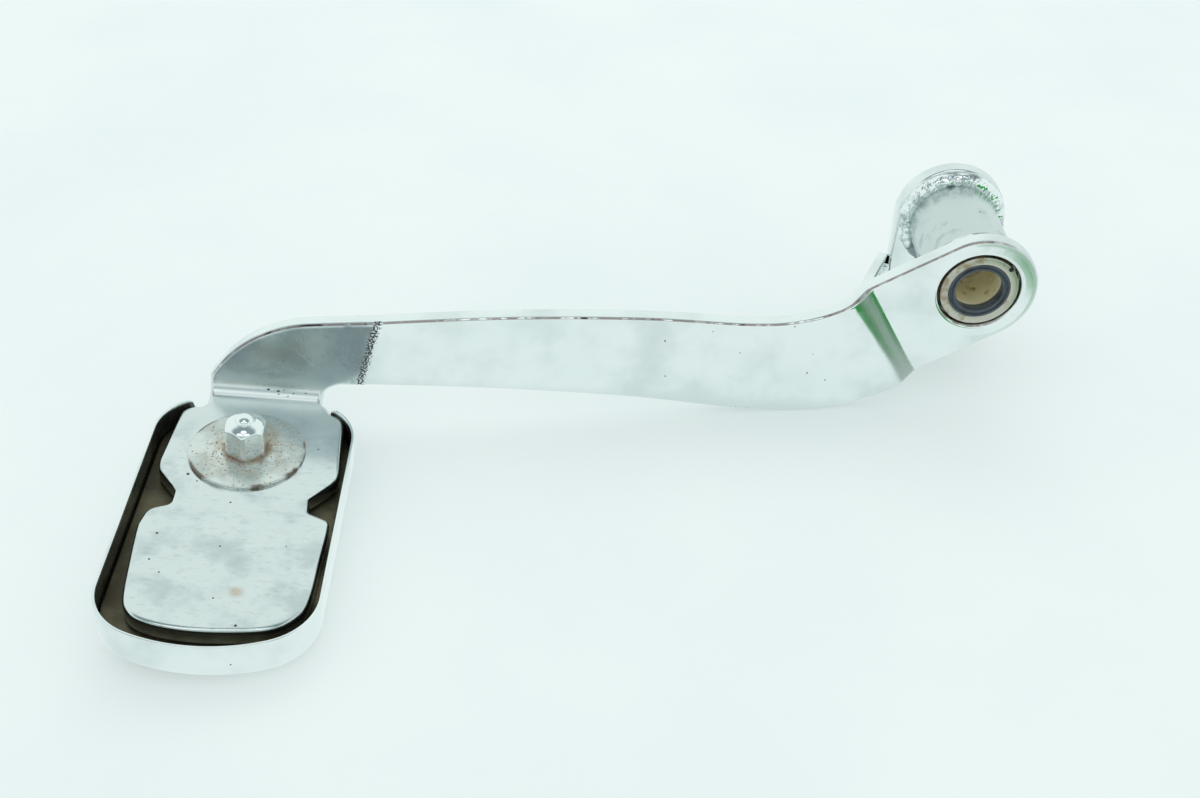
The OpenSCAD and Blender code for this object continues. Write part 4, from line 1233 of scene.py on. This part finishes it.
class PEDAL_OT_fastening(bpy.types.Operator):
    """The large washer and the acorn nut on the stud"""
    bl_idname = "pedal.fastening"
    bl_label = "Washer and acorn nut"

    def execute(self, context):
        arm, pad, colours = given(context, "arm", "pad")
        plate = Plate(arm)
        stand = plate.pad @ Matrix.Translation((*STUD, 0)) @ turned("X", 90)
        outer, inner, thick = pad.washer_d / 2, WASHER_HOLE_R, pad.washer_t
        washer = softened([(inner, 0), (outer, 0, 0.2), (outer, thick, 0.4), (inner, thick)], 0.2, 4)
        piece("washer", *lathe(washer), washer_finish(pad, plate, colours), "washer_steel",
              ["large_washer"], stand)
        piece("nut", *acorn_nut(pad), nut_finish(plate, colours), "nut_chrome", ["cap_nut"],
              stand @ Matrix.Translation((0, thick, 0)) @ turned("Y", pad.nut_turn))
        return {"FINISHED"}


def acorn_nut(pad, turns=144):
    """A hexagon nut with a rounded crown and a small dome, round the Y axis."""
    half, bore, hole = pad.nut_af / 2, pad.stud_d / 2, pad.nut_bore
    corner = half / math.cos(math.radians(30))
    # The crown's steps are those of a nut 12.7 mm across
    share, low = half / 6.35, pad.nut_hex
    crown = [(corner + 0.1, low - 2.4), (corner - 0.35, low - 1.5), (corner - 0.95, low - 0.6),
             (half - 0.75 * share, low), (half - 1.6 * share, low + 0.42), (half - 2.5 * share, low + 0.75),
             (half - 3.0 * share, low + 0.9), (half - 3.2 * share, low + 1.15)]
    dome_r, foot = crown[-1]
    verts = []
    for k in range(turns):
        deg = 360 * k / turns
        flat = half / math.cos(math.radians((deg + 30) % 60 - 30))
        side = flat - 0.2 * smooth((flat - corner + 0.5) / 0.5)
        line = [(bore, hole), (bore, 0.4), (bore + 0.5, 0), (min(side, corner - 0.5), 0), (side, 0.35)]
        line += [(side, low * t / 8) for t in range(1, 6)]
        for (ra, ya), (rb, yb) in zip(crown, crown[1:]):
            line += [(min(side, ra + (rb - ra) * t / 3), ya + (yb - ya) * t / 3) for t in range(3)]
        for t in range(13):
            turn = math.pi / 2 * t / 12
            height = foot + (pad.nut_h - foot) * math.sin(turn)
            line.append((dome_r * math.cos(turn) if t < 12 else 0.0, height))
        c, d = math.cos(math.radians(deg)), math.sin(math.radians(deg))
        verts += [Vector((r * c, y, r * d)) for r, y in line]
    n = len(line)
    faces = skin(turns, n, closed=False)
    verts.append(Vector((0, hole, 0)))
    faces += [(len(verts) - 1, k * n, (k + 1) % turns * n) for k in range(turns)]
    return verts, faces


class PEDAL_OT_stage(bpy.types.Operator):
    """The camera, the pale floor and the soft light"""
    bl_idname = "pedal.stage"
    bl_label = "Stage"

    def execute(self, context):
        scene, colours = context.scene, context.scene.pedal_colours
        scene.view_settings.view_transform = "Standard"
        camera = bpy.data.objects.new("camera", bpy.data.cameras.new("camera"))
        camera.data.sensor_width, camera.data.lens = 36, CAMERA_LENS
        camera.data.clip_start, camera.data.clip_end = 0.01, 20
        forward, right = Vector(CAMERA_WAY), Vector(CAMERA_RIGHT).normalized()
        up = right.cross(forward).normalized()
        turn = Matrix((right, up, -forward)).transposed()
        camera.matrix_world = Matrix.Translation(CAMERA_AT) @ turn.to_4x4()
        scene.collection.objects.link(camera)
        scene.camera = camera

        size, low = 6.0, CAD_BOX[0][2]
        mesh = bpy.data.meshes.new("floor")
        mesh.from_pydata([(-size, -size, low), (size, -size, low), (size, size, low), (-size, size, low)], [],
                         [(0, 1, 2, 3)])
        floor = bpy.data.objects.new("floor", mesh)
        scene.collection.objects.link(floor)
        mesh.materials.append(floor_finish(colours))
        self.studio(scene)
        return {"FINISHED"}

    def studio(self, scene):
        """An even white tent. Mirrors see it bright behind the part and grey overhead and in front,
        with three lit panels. One weak lamp gives the soft shadow."""
        world = bpy.data.worlds.new("studio")
        scene.world = world
        world.use_nodes = True
        tree = world.node_tree
        tree.nodes.clear()
        way = add(tree, "ShaderNodeTexCoord").outputs["Generated"]
        panel = [1.45 * v for v in linear("#FBFFFF")]
        mirrored = (*linear("#F1FCFA"), 1)
        for aim, start, end, tone in (
                ((0, -0.35, 0.94), 0.62, 0.82, linear("#8C9EA2")),
                ((0, -0.54, 0.84), 0.91, 0.985, linear("#EDF7F7")),
                ((-0.28, -0.5, 0.82), 0.975, 0.985, panel),
                ((0.28, -0.5, 0.82), 0.975, 0.985, panel),
                ((0, -0.1, 1), 0.985, 0.992, panel)):
            toward = add(tree, "ShaderNodeVectorMath", {0: way, 1: Vector(aim).normalized()},
                         operation="DOT_PRODUCT").outputs["Value"]
            share = add(tree, "ShaderNodeMapRange", {"Value": toward, "From Min": start, "From Max": end},
                        interpolation_type="SMOOTHSTEP")
            mirrored = add(tree, "ShaderNodeMix", {"Factor": share, 6: mirrored, 7: (*tone, 1)},
                           data_type="RGBA").outputs[2]
        glossy = add(tree, "ShaderNodeLightPath").outputs["Is Glossy Ray"]
        tone = add(tree, "ShaderNodeMix", {"Factor": glossy, 6: (*linear("#F9F9F9"), 1), 7: mirrored},
                   data_type="RGBA").outputs[2]
        glow = add(tree, "ShaderNodeBackground", {"Color": tone, "Strength": 1.0})
        add(tree, "ShaderNodeOutputWorld", {"Surface": glow})
        light = bpy.data.objects.new("lamp", bpy.data.lights.new("lamp", "AREA"))
        light.data.size, light.data.energy = 0.9, 1.8
        light.visible_glossy = False
        light.location = (-0.05, 0.62, 1.0)
        aim = Vector((-0.13, -0.05, 0)) - light.location
        light.rotation_euler = aim.to_track_quat("-Z", "Y").to_euler()
        scene.collection.objects.link(light)


class PEDAL_PT_panel(bpy.types.Panel):
    """Sizes, colours and pieces of the pedal"""
    bl_label = "Foot brake pedal"
    bl_idname = "PEDAL_PT_panel"
    bl_space_type = "VIEW_3D"
    bl_region_type = "UI"
    bl_category = "Pedal"

    def draw(self, context):
        for name, group in GROUPS.items():
            box = self.layout.box()
            for key in group.__annotations__:
                box.prop(getattr(context.scene, name), key)
        for operator in OPERATORS:
            self.layout.operator(operator.bl_idname)


OPERATORS = (PEDAL_OT_stage, PEDAL_OT_arm, PEDAL_OT_lever, PEDAL_OT_brace, PEDAL_OT_pivot, PEDAL_OT_welds,
             PEDAL_OT_cup, PEDAL_OT_pad, PEDAL_OT_fastening)
GROUPS = {"pedal_arm": ArmSizes, "pedal_pad": PadSizes, "pedal_pivot": PivotSizes, "pedal_colours": Colours}
CLASSES = (*GROUPS.values(), *OPERATORS, PEDAL_PT_panel)


def register():
    for cls in CLASSES:
        bpy.utils.register_class(cls)
    for name, group in GROUPS.items():
        setattr(bpy.types.Scene, name, PointerProperty(type=group))


def unregister():
    for name in GROUPS:
        delattr(bpy.types.Scene, name)
    for cls in reversed(CLASSES):
        bpy.utils.unregister_class(cls)


def main():
    register()
    for operator in OPERATORS:
        getattr(bpy.ops.pedal, operator.bl_idname.split(".")[1])()


if __name__ == "__main__":
    main()
